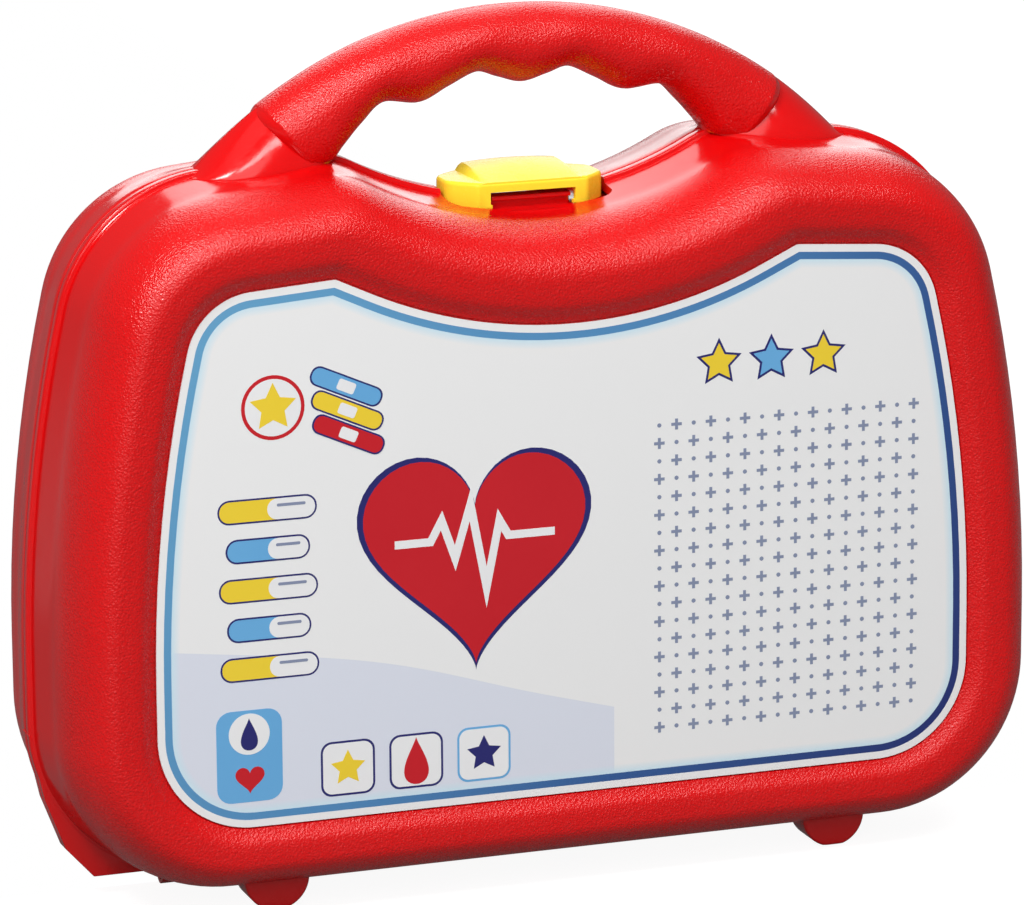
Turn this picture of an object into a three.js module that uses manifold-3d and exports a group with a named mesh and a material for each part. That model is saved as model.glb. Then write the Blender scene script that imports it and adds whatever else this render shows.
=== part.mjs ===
// Toy doctor case in millimetres, +Z up, standing closed on its feet.
// Two moulded half shells are hinged along the floor side. A latch closes them between the ends of
// the carrying handle, and each half holds a liner tray with play instruments.
// The origin is on the floor under the middle of the seam. The labelled half faces -Y.
import * as THREE from "three";
import { mergeVertices } from "three/addons/utils/BufferGeometryUtils.js";
import Module from "manifold-3d";

const wasm = await Module();
wasm.setup();

// Driving sizes of the case
const caseWidth = 278;
const shoulderHeight = 198;
const shellDepth = 42.3;
const footDrop = 4.7;
const wall = 2.4;
const seamGap = 0.3;
const clearance = 0.3;
const overrun = 4;

// Shell outline at the seam: corners as shares of half the width and of the shoulder height
const sideBendShare = 0.574;
const shoulderShares = [0.869, 0.967];
const earShare = 0.4;
const dipApexShare = 0.857;
const bottomCornerRadius = 45;
const sideBendRadius = 410;
const shoulderRadius = 44;
const earRadius = 28;
const dipRadius = 103.7;
const cornerSteps = { bottom: 4, bend: 1, shoulder: 4, ear: 3, dip: 6 };

// Label outline, in the same shares
const labelWidthShare = 0.828;
const labelBottomShare = 0.1323;
const labelBendShare = 0.5626;
const labelShoulderShares = [0.731, 0.854];
const labelEarShares = [0.4633, 0.8672];
const labelDipApexShare = 0.7162;
const labelCornerRadius = 26.5;
const labelBendRadius = 385;
const labelShoulderRadius = 19.4;
const labelEarRadius = 2;
const labelDipRadius = 129.7;
const labelThickness = 0.4;
const labelSet = 2.4;

// Seam lip, and the wings that carry it out to square lower corners
const lipProud = 1;
const lipWidth = 3.2;
const lipRound = 0.7;
const wingShares = [[1.008, 0.94], [0.978, 0.52], [0.94, 0.21], [0.885, 0.02], [0.777, 0.02],
  [0.777, 0.085], [0.86, 0.217], [0.93, 0.435], [0.977, 0.733], [0.99, 0.94]];

// Front roll: how far the walls draft in before it starts, and where its crest lies between
// the seam outline and the label outline
const draftShare = 0.08;
const draftDepth = 18;
const crestShare = 0.58;
const rollSteps = 4;
const recessShares = [[0.5, 0.25], [0.75, 0.75]];
const innerFloorShare = 0.4;
const innerBendShare = 0.18;

// Carrying handle
const handleTop = 234.3;
const handleRadius = 125;
const gripDepth = 12.5;
const gripEndReach = 53.8;
const gripEndHeight = 196.4;
const gripShares = [[0, 0.446], [0.12, 0.49], [0.245, 0.536], [0.4, 0.44], [0.541, 0.346],
  [0.734, 0.367], [0.85, 0.232], [0.95, 0.08], [1.01, -0.01], [1.115, -0.032]];
const gripLeanShare = 0.208;
const gripDomeShares = [[0.12, 0.55], [0.45, 1]];
const gripDome = 3.6;
const gripFootShare = 0.3;
const gripSteps = 10;
const gripSides = 7;
const bracketSteps = 4;
const bracketDepth = 13.4;
const bracketMiddle = 74;
const bracketInner = 52;
const bracketOuter = 93.5;
const bracketRiseShare = 0.95;
const bracketSetback = 0.6;
const bracketCurveShare = 1.3;
const bracketSinkShare = 0.9;
const bracketPlaceShares = [0, 0.15, 0.35, 0.6, 0.85];
const bracketToeShare = 0.97;

// Feet
const footRadius = 9;
const footThickness = 11;
const footFlat = 0.4;
const footReachShare = 0.5755;
const footSeat = 25;
const footSegments = 3;

// Hinge
const hingeHeight = 3.6;
const knuckleRadius = 2.8;
const pinRadius = 1.3;
const outerHingeShares = [0.4748, 0.7482];
const outerLidShares = [0.27, 0.73];
const innerHingeShares = [0.1079, 0.2086];
const innerLidShares = [0.5, 1];
const knuckleGap = 0.4;
const hingeSides = 8;

// Latch
const latchWidth = 44.4;
const latchFront = 11.6;
const latchTail = 10.6;
const latchSeat = 1.4;
const latchHeight = 7.1;
const latchWall = 1.7;
const latchMouthWidth = 24;
const latchMouthHeight = 4.4;
const latchLegWidth = 3.5;
const latchLobeLength = 10;
const latchLobeRadius = 5;
const latchCornerRadius = 2;
const latchEdge = 0.7;
const latchHumpWidth = 30.4;
const latchHumpSlope = 1.6;
const latchHumpRise = 2.9;
const latchHumpWall = 3.4;
const latchHumpShares = [[-1, -0.14], [-0.93, 0], [-0.6, 0.35], [0, 0.8], [0.7, 1], [0.96, 0.9],
  [1, 0.45]];
const latchPinRadius = 1;
const latchPinReach = 6.2;
const latchPinHeight = 4.4;
const latchPinLength = 31;
const latchBossRadius = 2.3;
const latchLugBack = 0.6;
const latchTailRelief = 0.5;
const latchLugWidth = 2.2;
const latchLugReach = 8.2;
const latchNub = 0.5;
const latchNubHeight = 1;
const catchSetback = 1.4;
const catchDepth = 5.2;
const catchHeight = 3.3;
const catchLedge = 1.6;
const catchLedgeHeight = 1.2;
const pocketMargin = 1;
const pocketPad = 2.5;

// Liner trays
const traySheet = 1.6;
const trayRim = 3;
const trayRimWidth = 5;
const traySlope = 4;
const wellSegments = 3;
const lidDeckRise = 4;
const baseDeckRise = 16.8;
const padGap = 0.6;

// Play instruments. Their places are shares of half the width and of the shoulder height, seen from
// the front, and the axis of those in the lid runs at one depth behind the seam.
const instrumentFloorRoom = 18.8;
const wellGap = 0.5;
const roundSides = 10;
const tubeSides = 8;

// Thermometer
const thermometerTipShares = [-0.4489, 0.147];
const thermometerTopShares = [-0.6719, 0.7308];
const thermometerFlatShare = 0.48;
const thermometerPointRadius = 4.6;
const thermometerPointLength = 42.4;
const thermometerPointShares = [[0.3478, 0], [0.7391, 0.033], [0.913, 0.0943], [0.7391, 0.2123],
  [0.7391, 0.7075], [1, 0.8019], [1, 1]];
const thermometerBodyRadius = 10.5;
const thermometerBodyLength = 76.7;
const thermometerBodyShares = [[0.7048, 0], [0.9143, 0.03], [1, 0.0952], [1, 0.8513],
  [0.8571, 0.9426], [0.4381, 1]];
const thermometerWellShares = [0.0879, 0.9263];

// Otoscope
const otoscopeBottomShares = [-0.2115, 0.147];
const otoscopeTopShares = [-0.3158, 0.7308];
const otoscopeHandleRadius = 11.5;
const otoscopeHandleLength = 63;
const otoscopeHandleShares = [[0.8174, 0], [1, 0.0349], [1, 0.9619], [0.8348, 1]];
const otoscopeNeckRadius = 6.8;
const otoscopeNeckLength = 108;
const otoscopeNeckShares = [[1, 0.5861], [1, 0.7778], [0.7941, 0.8333], [0.7941, 1]];
const otoscopeBarrelRadius = 13.4;
const otoscopeBarrelLength = 31;
const otoscopeBarrelShares = [[0.8657, -0.3032], [1, -0.2452], [1, 0.2258], [0.6119, 0.3355],
  [0.3881, 0.5806], [0.2537, 1]];
const otoscopeHeadWellShares = [-0.3097, 0.6129];

// Probe
const probeBottomShares = [-0.0216, 0.1768];
const probeTopShares = [-0.023, 0.6566];
const probeRadius = 5;
const probeLength = 88.4;
const probeShares = [[0.3, 0], [0.52, 0.0226], [0.52, 0.3846], [1, 0.4751], [1, 0.905], [0.64, 0.9502],
  [0.64, 1]];
const probeCapRadius = 6.3;

// Reflex hammer
const hammerBottomShares = [0.1741, 0.1414];
const hammerTopShares = [0.2568, 0.7359];
const hammerHandleRadius = 11.2;
const hammerHandleLength = 62;
const hammerHandleShares = [[0.8214, 0], [1, 0.0355], [1, 0.9613], [0.8393, 1]];
const hammerNeckRadius = 6.4;
const hammerNeckLength = 112;
const hammerNeckShares = [[1, 0.5563], [1, 0.75], [0.8125, 0.8036], [0.8125, 1]];
const hammerHeadRadius = 13.6;
const hammerHeadLength = 28.5;
const hammerHeadShares = [[0.1176, -1], [0.3088, -0.9263], [0.9559, -0.3158], [1, -0.1754],
  [0.6176, -0.0702], [0.6176, 0.2807], [1, 0.386], [1, 0.8772], [0.8529, 1]];
const hammerHeadWellShares = [-0.5614, 0.8912];

// Syringe
const syringeTipShares = [0.3971, 0.1071];
const syringeTopShares = [0.7158, 0.7111];
const syringeBarrelRadius = 8.75;
const syringeBarrelLength = 90;
const syringeBarrelShares = [[0.2057, 0], [0.2743, 0.0089], [0.3429, 0.1333], [0.9143, 0.1889],
  [1, 0.2222], [1, 1]];
const syringeBore = 7;
const syringeBoreStart = 20;
const syringePlungerRadius = 12;
const syringePlungerLength = 139;
const syringePlungerShares = [[0.55, 0.3525], [0.55, 0.3957], [0.25, 0.4101], [0.25, 0.8129],
  [0.55, 0.8309], [0.9167, 0.8669], [1, 0.9173], [0.75, 0.9741], [0.3333, 1]];
const syringeBarrelWellShares = [0.0504, 1];
const syringePlungerWellShares = [0.7482, 1];
const syringeBarSetback = 4;
const syringeBarWidth = 7;
const syringeRingReach = 21.2;
const syringeRingRadius = 8.6;
const syringeRingTube = 2.4;
const syringeRingFlatShare = 0.3182;

// Plaster pack
const packMiddleShares = [0.6906, 0.2303];
const packWidth = 29;
const packLength = 48;
const packThickness = 8;
const packTurn = THREE.MathUtils.degToRad(25);
const packEdge = 1.2;

// Stethoscope: a connector with three arms, a hose to the chest piece and two ear tubes.
// Points on its tubes are shares of half the width, of the shoulder height and, above the deck,
// of the tube's radius.
const tubeRadius = 3;
const socketDepth = 5;
const socketGap = 0.5;
const connectorRadius = 4.8;
const connectorMiddleShares = [-0.1849, 0.2838];
const connectorArmShares = [[-0.1036, 0.2672], [-0.2619, 0.2586], [-0.1209, 0.3288]];
const hosePathShares = [
  [-0.1281, 0.2722, 0.6], [-0.0144, 0.2424, 0.333], [0.1439, 0.2141, 0], [0.3813, 0.2091, 0],
  [0.6043, 0.2323, 0], [0.7626, 0.303, 0], [0.8388, 0.4444, 0], [0.8345, 0.5859, 0],
  [0.7626, 0.6919, 0], [0.6547, 0.7394, 0.5], [0.5856, 0.7525, 0.6],
];
const leftTubePathShares = [
  [-0.236, 0.2672, 0.6], [-0.3165, 0.2303, 0.333], [-0.4317, 0.2121, 0], [-0.5468, 0.2424, 0.4],
  [-0.6101, 0.3101, 1.1], [-0.6245, 0.3444, 1.1],
];
const rightTubePathShares = [
  [-0.1396, 0.3157, 0.6], [-0.0288, 0.3788, 0.267], [0.1007, 0.4646, 0], [0.2014, 0.5657, 0],
  [0.2302, 0.6768, 0], [0.1799, 0.7727, 0], [0.0288, 0.8182, 0], [-0.2014, 0.8364, 0],
  [-0.5036, 0.8606, 0], [-0.705, 0.8283, 0], [-0.8058, 0.7374, 0.4], [-0.7957, 0.6313, 1.1],
  [-0.7813, 0.598, 1.1],
];
const leftTubeSteps = 11;
const rightTubeSteps = 23;
const hoseSteps = 22;
const tipRadius = 6;
const tipLength = 12.4;
const tipShares = [[0.7, -0.371], [0.8333, -0.1613], [1, 0.2097], [1, 0.4839], [0.6333, 0.8548],
  [0.2667, 1]];

// Chest piece, lying flat on the deck
const chestMiddleShares = [0.4173, 0.7576];
const chestRadius = 18.5;
const chestLength = 10.4;
const chestShares = [[0.9189, 0], [1, 0.1346], [1, 0.6154], [0.7892, 0.8462], [0.4865, 1]];
const chestStemBite = 1.7;
const chestLugReach = 16.4;
const chestLugRadius = 3.4;
const chestLugHeight = 8;
const chestLugShares = [0.22, 0.52, 0.82];
const diaphragmRadius = 16;
const diaphragmThickness = 1.2;

// Bulb
const bulbMiddleShares = [-0.3669, 0.404];
const bulbEndShares = [-0.2259, 0.503];
const bulbRise = 1.6;
const bulbFlatShare = 0.72;
const bulbRadius = 19.5;
const bulbLength = 27.7;
const bulbShares = [[0.2564, -0.7004], [0.6154, -0.5632], [0.8923, -0.3249], [1, 0], [0.9026, 0.3249],
  [0.6359, 0.5776], [0.3282, 0.7798], [0.2359, 1]];
const bulbWellShares = [-0.0217, 0.3971];

// Scissors and forceps: two flat layers each, lying on the deck
const layerThickness = 4.4;
const layerGap = 0.3;
const scissorsPivotShares = [-0.2302, 0.6616];
const scissorsBladeTipShares = [0.1439, 0.6798];
const forcepsPivotShares = [0.3165, 0.3939];
const forcepsJawTipShares = [0.1079, 0.3061];
const pivotRadius = 6;
const pivotPinRadius = 2;
const pivotHeadRadius = 3.6;
const pivotHeadThickness = 1;
const handleArmWidth = 7;
const scissorsLoopShares = [[-0.4676, 0.598], [-0.5223, 0.7273]];
const forcepsLoopShares = [[0.6475, 0.4646], [0.5036, 0.5707]];
const scissorsLongLoop = 7;
const loopSegments = 3;
const armSegments = 2;
const loopRadius = 10.6;
const loopHole = 6.6;
const bladeWidth = 8.4;
const jawWidth = 9;
const bladeShares = [[0, -0.5], [0.82, -0.42], [1, 0.1], [0.86, 0.24], [0, 0.24]];
const jawShares = [[0, -0.4], [0.9, -0.16], [1, 0], [0.94, 0.1], [0.88, 0], [0.82, 0.12],
  [0.76, 0.02], [0.7, 0.14], [0.64, 0.04], [0.58, 0.16], [0.52, 0.06], [0.46, 0.2], [0, 0.4]];

// Pegs that hold the tubes on the deck, at shares of their length
const pegRadius = 1.6;
const pegHeight = 5.6;
const pegSides = 6;
const hosePegShares = [0.18, 0.4, 0.68];
const leftPegShares = [0.4];
const rightPegShares = [0.16, 0.48, 0.66];

const halfWidth = caseWidth / 2;
const shellBottom = footDrop;
const halfGap = seamGap / 2;
const labelFace = shellDepth - labelSet;
const recessFloor = labelFace - labelThickness - clearance;
const innerFloor = recessFloor - wall;
const instrumentDepth = innerFloor - instrumentFloorRoom;
const lidDeck = instrumentDepth - lidDeckRise;
const baseDeck = innerFloor - baseDeckRise;
const deckTop = baseDeck - clearance;
const bulbDepth = baseDeck - bulbRise;
const connectorDepth = deckTop - connectorRadius;

const footReach = footReachShare * halfWidth;
const hingeOf = ([fromShare, toShare], lidShares) => ({
  from: fromShare * halfWidth,
  to: toShare * halfWidth,
  lidShares,
});
const outerHinge = hingeOf(outerHingeShares, outerLidShares);
const innerHinge = hingeOf(innerHingeShares, innerLidShares);

// A place from its shares of half the width and of the shoulder height
const placeAt = ([x, z]) => [x * halfWidth, z * shoulderHeight];

// A turned profile of [radius, height] from its shares of a radius and of a length
const profileOf = (shares, radius, length) => shares.map(([r, h]) => [r * radius, h * length]);

const thermometerPointProfile = profileOf(
  thermometerPointShares,
  thermometerPointRadius,
  thermometerPointLength,
);
const thermometerBodyStart = thermometerPointLength + clearance;
const thermometerLength = thermometerBodyStart + thermometerBodyLength;
const thermometerBodyProfile = profileOf(
  thermometerBodyShares,
  thermometerBodyRadius,
  thermometerBodyLength,
).map(([radius, height]) => [radius, height + thermometerBodyStart]);
const otoscopeHandleProfile = profileOf(
  otoscopeHandleShares,
  otoscopeHandleRadius,
  otoscopeHandleLength,
);
const otoscopeNeckProfile = profileOf(otoscopeNeckShares, otoscopeNeckRadius, otoscopeNeckLength);
const otoscopeBarrelProfile = profileOf(
  otoscopeBarrelShares,
  otoscopeBarrelRadius,
  otoscopeBarrelLength,
);
const probeProfile = profileOf(probeShares, probeRadius, probeLength);
const hammerHandleProfile = profileOf(hammerHandleShares, hammerHandleRadius, hammerHandleLength);
const hammerNeckProfile = profileOf(hammerNeckShares, hammerNeckRadius, hammerNeckLength);
const hammerHeadProfile = profileOf(hammerHeadShares, hammerHeadRadius, hammerHeadLength);
const syringeBarrelProfile = profileOf(syringeBarrelShares, syringeBarrelRadius, syringeBarrelLength);
const syringeBarHeight = syringeBarrelLength - syringeBarSetback;
const syringePlungerProfile = profileOf(
  syringePlungerShares,
  syringePlungerRadius,
  syringePlungerLength,
);
const tipProfile = profileOf(tipShares, tipRadius, tipLength);
const chestProfile = profileOf(chestShares, chestRadius, chestLength);
const bulbProfile = profileOf(bulbShares, bulbRadius, bulbLength);
const thermometerWell = thermometerWellShares.map((share) => share * thermometerLength);
const syringeBarrelWell = syringeBarrelWellShares.map((share) => share * syringePlungerLength);
const syringePlungerWell = syringePlungerWellShares.map((share) => share * syringePlungerLength);
const otoscopeHeadWell = otoscopeHeadWellShares.map((share) => share * otoscopeBarrelLength);
const hammerHeadWell = hammerHeadWellShares.map((share) => share * hammerHeadLength);
const bulbWell = bulbWellShares.map((share) => share * bulbLength);
const thermometerTip = placeAt(thermometerTipShares);
const thermometerTop = placeAt(thermometerTopShares);
const otoscopeBottom = placeAt(otoscopeBottomShares);
const otoscopeTop = placeAt(otoscopeTopShares);
const probeBottom = placeAt(probeBottomShares);
const probeTop = placeAt(probeTopShares);
const hammerBottom = placeAt(hammerBottomShares);
const hammerTop = placeAt(hammerTopShares);
const syringeTip = placeAt(syringeTipShares);
const syringeTop = placeAt(syringeTopShares);
const packMiddle = placeAt(packMiddleShares);
const connectorMiddle = placeAt(connectorMiddleShares);
const chestMiddle = placeAt(chestMiddleShares);
const bulbMiddle = placeAt(bulbMiddleShares);
const bulbEnd = placeAt(bulbEndShares);
const scissorsPivot = placeAt(scissorsPivotShares);
const scissorsBladeTip = placeAt(scissorsBladeTipShares);
const forcepsPivot = placeAt(forcepsPivotShares);
const forcepsJawTip = placeAt(forcepsJawTipShares);
const connectorArms = connectorArmShares.map(placeAt);
const scissorsLoops = scissorsLoopShares.map(placeAt);
const forcepsLoops = forcepsLoopShares.map(placeAt);

const materials = {
  red: new THREE.MeshStandardMaterial({ color: 0xd8161c, roughness: 0.35, metalness: 0 }),
  yellow: new THREE.MeshStandardMaterial({ color: 0xf6e21c, roughness: 0.3, metalness: 0 }),
  white: new THREE.MeshStandardMaterial({ color: 0xf0f0ef, roughness: 0.45, metalness: 0 }),
  grey: new THREE.MeshStandardMaterial({ color: 0xb4b8bc, roughness: 0.35, metalness: 0 }),
  darkGrey: new THREE.MeshStandardMaterial({ color: 0x4c5057, roughness: 0.5, metalness: 0 }),
  blue: new THREE.MeshStandardMaterial({ color: 0x2b2f8f, roughness: 0.4, metalness: 0 }),
  green: new THREE.MeshStandardMaterial({ color: 0xb9c23c, roughness: 0.4, metalness: 0 }),
};

const doctorCase = new THREE.Group();

// Adds one named piece to a group.
function addPiece(name, geometry, material, group = doctorCase) {
  const mesh = new THREE.Mesh(geometry, material);
  mesh.name = name;
  group.add(mesh);
  return mesh;
}

// Turns a closed geometry into a solid that can be joined and cut.
function solidOf(geometry) {
  const bare = geometry.clone();
  bare.deleteAttribute("normal");
  bare.deleteAttribute("uv");
  const welded = mergeVertices(bare);
  return new wasm.Manifold(new wasm.Mesh({
    numProp: 3,
    vertProperties: Float32Array.from(welded.attributes.position.array),
    triVerts: Uint32Array.from(welded.index.array),
  }));
}

function geometryOf(solid) {
  const mesh = solid.getMesh();
  const geometry = new THREE.BufferGeometry();
  const places = new THREE.BufferAttribute(Float32Array.from(mesh.vertProperties), 3);
  geometry.setAttribute("position", places);
  geometry.setIndex(Array.from(mesh.triVerts));
  return geometry;
}

const joined = (...geometries) => geometries.map(solidOf).reduce((whole, part) => whole.add(part));

// Rounds the corners of a closed outline, given anticlockwise as { x, z, radius, steps }, and moves
// every edge inwards by an inset. Neighbouring rounds that would meet share the edge between them.
function roundedLoop(corners, inset = 0) {
  const count = corners.length;
  const edge = corners.map((corner, i) => {
    const next = corners[(i + 1) % count];
    return new THREE.Vector2(next.x - corner.x, next.z - corner.z).normalize();
  });
  const places = corners.map((corner, i) => {
    const before = edge[(i + count - 1) % count];
    const after = edge[i];
    const shift = new THREE.Vector2(-before.y - after.y, before.x + after.x);
    shift.multiplyScalar(inset / (1 + before.dot(after)));
    const turn = Math.atan2(before.cross(after), before.dot(after));
    const radius = Math.max(corner.radius - Math.sign(turn) * inset, 0);
    const tangent = radius * Math.tan(Math.abs(turn) / 2);
    return {
      x: corner.x + shift.x,
      z: corner.z + shift.y,
      steps: corner.steps,
      before,
      turn,
      tangent,
    };
  });
  const fit = places.map((place, i) => {
    const next = places[(i + 1) % count];
    const length = Math.hypot(next.x - place.x, next.z - place.z);
    return Math.min(1, length / (place.tangent + next.tangent));
  });
  return places.flatMap((place, i) => {
    const tangent = place.tangent * Math.min(fit[i], fit[(i + count - 1) % count]);
    const radius = tangent / Math.tan(place.turn / 2);
    const centre = new THREE.Vector2(place.x, place.z)
      .addScaledVector(place.before, -tangent)
      .add(new THREE.Vector2(-place.before.y, place.before.x).multiplyScalar(radius));
    return Array.from({ length: place.steps + 1 }, (_, step) => {
      const angle = (place.turn * step) / place.steps;
      const spoke = new THREE.Vector2(place.before.y, -place.before.x).multiplyScalar(radius);
      return spoke.rotateAround(new THREE.Vector2(), angle).add(centre);
    });
  });
}

// Skins a row of rings with equal numbers of points and closes both ends.
function loft(rings) {
  const count = rings[0].length;
  const points = rings.flat();
  const faces = [];
  for (let ring = 0; ring < rings.length - 1; ring += 1) {
    for (let side = 0; side < count; side += 1) {
      const a = ring * count + side;
      const b = ring * count + ((side + 1) % count);
      faces.push([a, b, b + count], [a, b + count, a + count]);
    }
  }
  const last = (rings.length - 1) * count;
  faces.push(...capFaces(rings[0]).map((face) => [...face].reverse()));
  const farFaces = capFaces(rings[rings.length - 1]);
  faces.push(...farFaces.map((face) => face.map((corner) => corner + last)));
  return outward(points, faces);
}

// Triangles that fill a flat ring, turning the same way as the ring does.
function capFaces(ring) {
  const normal = new THREE.Vector3();
  ring.forEach((point, i) => {
    normal.add(new THREE.Vector3().crossVectors(point, ring[(i + 1) % ring.length]));
  });
  const across = ["x", "y", "z"].reduce((most, axis) => (
    Math.abs(normal[axis]) > Math.abs(normal[most]) ? axis : most));
  const [first, second] = ["x", "y", "z"].filter((axis) => axis !== across);
  const flat = ring.map((point) => new THREE.Vector2(point[first], point[second]));
  const way = Math.sign(THREE.ShapeUtils.area(flat));
  return THREE.ShapeUtils.triangulateShape(flat, []).map((face) => {
    const faceWay = Math.sign(THREE.ShapeUtils.area(face.map((corner) => flat[corner])));
    return faceWay === way ? face : [...face].reverse();
  });
}

// Makes a geometry from points and faces, and turns it so that its faces point out.
function outward(points, faces) {
  const volume = faces.reduce((sum, [a, b, c]) =>
    sum + points[a].dot(new THREE.Vector3().crossVectors(points[b], points[c])), 0);
  const turned = volume < 0 ? faces.map((face) => [...face].reverse()) : faces;
  const geometry = new THREE.BufferGeometry();
  geometry.setFromPoints(points);
  geometry.setIndex(turned.flat());
  return geometry;
}

// A plate with an outline drawn in X and Z, between two places along Y.
function plate(shape, nearY, farY, curveSegments = 1, bevel = 0) {
  const geometry = new THREE.ExtrudeGeometry(shape, {
    depth: Math.abs(farY - nearY) - 2 * bevel,
    curveSegments,
    bevelEnabled: bevel > 0,
    bevelThickness: bevel,
    bevelSize: bevel,
    bevelOffset: -bevel,
    bevelSegments: 1,
  });
  geometry.rotateX(Math.PI / 2);
  geometry.translate(0, Math.max(nearY, farY) - bevel, 0);
  return geometry;
}

function block(lowX, highX, lowY, highY, lowZ, highZ) {
  const geometry = new THREE.BoxGeometry(highX - lowX, highY - lowY, highZ - lowZ);
  geometry.translate((lowX + highX) / 2, (lowY + highY) / 2, (lowZ + highZ) / 2);
  return geometry;
}

// A rod along X.
function rod(radius, fromX, toX, y, z, sides = roundSides) {
  const geometry = new THREE.CylinderGeometry(radius, radius, toX - fromX, sides);
  geometry.rotateZ(Math.PI / 2);
  geometry.translate((fromX + toX) / 2, y, z);
  return geometry;
}

// A rod between two points, given as vectors.
function rodBetween(from, to, radius, sides = roundSides) {
  const geometry = new THREE.CylinderGeometry(radius, radius, from.distanceTo(to), sides);
  const way = to.clone().sub(from).normalize();
  geometry.applyQuaternion(new THREE.Quaternion().setFromUnitVectors(new THREE.Vector3(0, 1, 0), way));
  const middle = from.clone().lerp(to, 1 / 2);
  geometry.translate(middle.x, middle.y, middle.z);
  return geometry;
}

// A turned piece along +Z, from a profile of [radius, height].
function turned(profile, sides = roundSides) {
  return loft(profile.map(([radius, height]) => Array.from({ length: sides }, (_, side) => {
    const angle = (2 * Math.PI * side) / sides;
    return new THREE.Vector3(radius * Math.cos(angle), radius * Math.sin(angle), height);
  })));
}

// Lays a piece built along +Z on the line from one [X, Z] place to another, at a place along Y.
function laid(geometry, from, to, y) {
  geometry.rotateY(Math.atan2(to[0] - from[0], to[1] - from[1]));
  geometry.translate(from[0], y, from[1]);
  return geometry;
}

// The place some way along the line from one [X, Z] place to another.
function placeAlong(from, to, distance) {
  const length = Math.hypot(to[0] - from[0], to[1] - from[1]);
  return [0, 1].map((i) => THREE.MathUtils.lerp(from[i], to[i], distance / length));
}

// A round tube along a path of points.
function tube(points, radius, steps, sides = tubeSides) {
  const curve = new THREE.CatmullRomCurve3(points);
  const frames = curve.computeFrenetFrames(steps, false);
  return loft(Array.from({ length: steps + 1 }, (_, step) => {
    const centre = curve.getPointAt(step / steps);
    return Array.from({ length: sides }, (__, side) => {
      const angle = (2 * Math.PI * side) / sides;
      return centre.clone()
        .addScaledVector(frames.normals[step], radius * Math.cos(angle))
        .addScaledVector(frames.binormals[step], radius * Math.sin(angle));
    });
  }));
}

// A slot outline with round ends between two points in X and Z.
function slotShape(from, to, radius) {
  const angle = Math.atan2(to[1] - from[1], to[0] - from[0]);
  const shape = new THREE.Shape();
  shape.absarc(to[0], to[1], radius, angle - Math.PI / 2, angle + Math.PI / 2);
  shape.absarc(from[0], from[1], radius, angle + Math.PI / 2, angle + (3 * Math.PI) / 2);
  return shape;
}

function mirrored(right, middle) {
  const left = right.map((corner) => ({ ...corner, x: -corner.x })).reverse();
  return [...right, ...middle, ...left];
}

const shellBottomShare = shellBottom / shoulderHeight;
const cornerAt = ([x, z], radius, steps) => ({
  x: x * halfWidth,
  z: z * shoulderHeight,
  radius,
  steps,
});

const seamCorners = mirrored([
  cornerAt([1, shellBottomShare], bottomCornerRadius, cornerSteps.bottom),
  cornerAt([1, sideBendShare], sideBendRadius, cornerSteps.bend),
  cornerAt(shoulderShares, shoulderRadius, cornerSteps.shoulder),
  cornerAt([earShare, 1], earRadius, cornerSteps.ear),
], [cornerAt([0, dipApexShare], dipRadius, cornerSteps.dip)]);

const labelCorners = mirrored([
  cornerAt([labelWidthShare, labelBottomShare], labelCornerRadius, cornerSteps.bottom),
  cornerAt([labelWidthShare, labelBendShare], labelBendRadius, cornerSteps.bend),
  cornerAt(labelShoulderShares, labelShoulderRadius, cornerSteps.shoulder),
  cornerAt(labelEarShares, labelEarRadius, cornerSteps.ear),
], [cornerAt([0, labelDipApexShare], labelDipRadius, cornerSteps.dip)]);

// A ring of the shell: share 0 follows the seam outline and share 1 the label outline.
function shellRing(share, depth, inset = 0) {
  const corners = seamCorners.map((corner, i) => ({
    x: THREE.MathUtils.lerp(corner.x, labelCorners[i].x, share),
    z: THREE.MathUtils.lerp(corner.z, labelCorners[i].z, share),
    radius: THREE.MathUtils.lerp(corner.radius, labelCorners[i].radius, share),
    steps: corner.steps,
  }));
  return roundedLoop(corners, inset).map((point) => new THREE.Vector3(point.x, -depth, point.y));
}

const seamLoop = shellRing(0, 0);
const dipBottom = Math.max(...seamLoop.filter(({ x }) => Math.abs(x) < overrun).map(({ z }) => z));
const pocketFloor = dipBottom - latchSeat;

// The share at which the drafted side wall stands at a depth behind the seam.
const draftAt = (depth) => (draftShare * Math.min(depth, draftDepth)) / draftDepth;

// One half shell as a thin moulding: inner floor, inner wall, seam lip, side wall, roll and recess.
function shellBody() {
  const inner = [
    shellRing(innerFloorShare, innerFloor, wall),
    shellRing(innerBendShare, (draftDepth + innerFloor) / 2, wall),
    shellRing(draftShare, draftDepth, wall),
    shellRing(0, halfGap, wall),
  ];
  const lip = [
    shellRing(0, halfGap, -lipProud),
    shellRing(0, lipWidth - lipRound, -lipProud),
    shellRing(0, lipWidth, -lipProud / 2),
    shellRing(draftAt(lipWidth), lipWidth, 0),
  ];
  const roll = Array.from({ length: rollSteps + 1 }, (_, step) => {
    const angle = (Math.PI / 2) * (step / rollSteps);
    const share = THREE.MathUtils.lerp(draftShare, crestShare, 1 - Math.cos(angle));
    return shellRing(share, THREE.MathUtils.lerp(draftDepth, shellDepth, Math.sin(angle)));
  });
  const recess = [
    ...recessShares.map(([share, drop]) => shellRing(
      THREE.MathUtils.lerp(crestShare, 1, share),
      THREE.MathUtils.lerp(shellDepth, labelFace, drop),
    )),
    shellRing(1, recessFloor),
  ];
  return loft([...inner, ...lip, ...roll, ...recess]);
}

const arcHeight = (x) => handleTop - handleRadius + Math.sqrt(handleRadius ** 2 - x ** 2);

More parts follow.
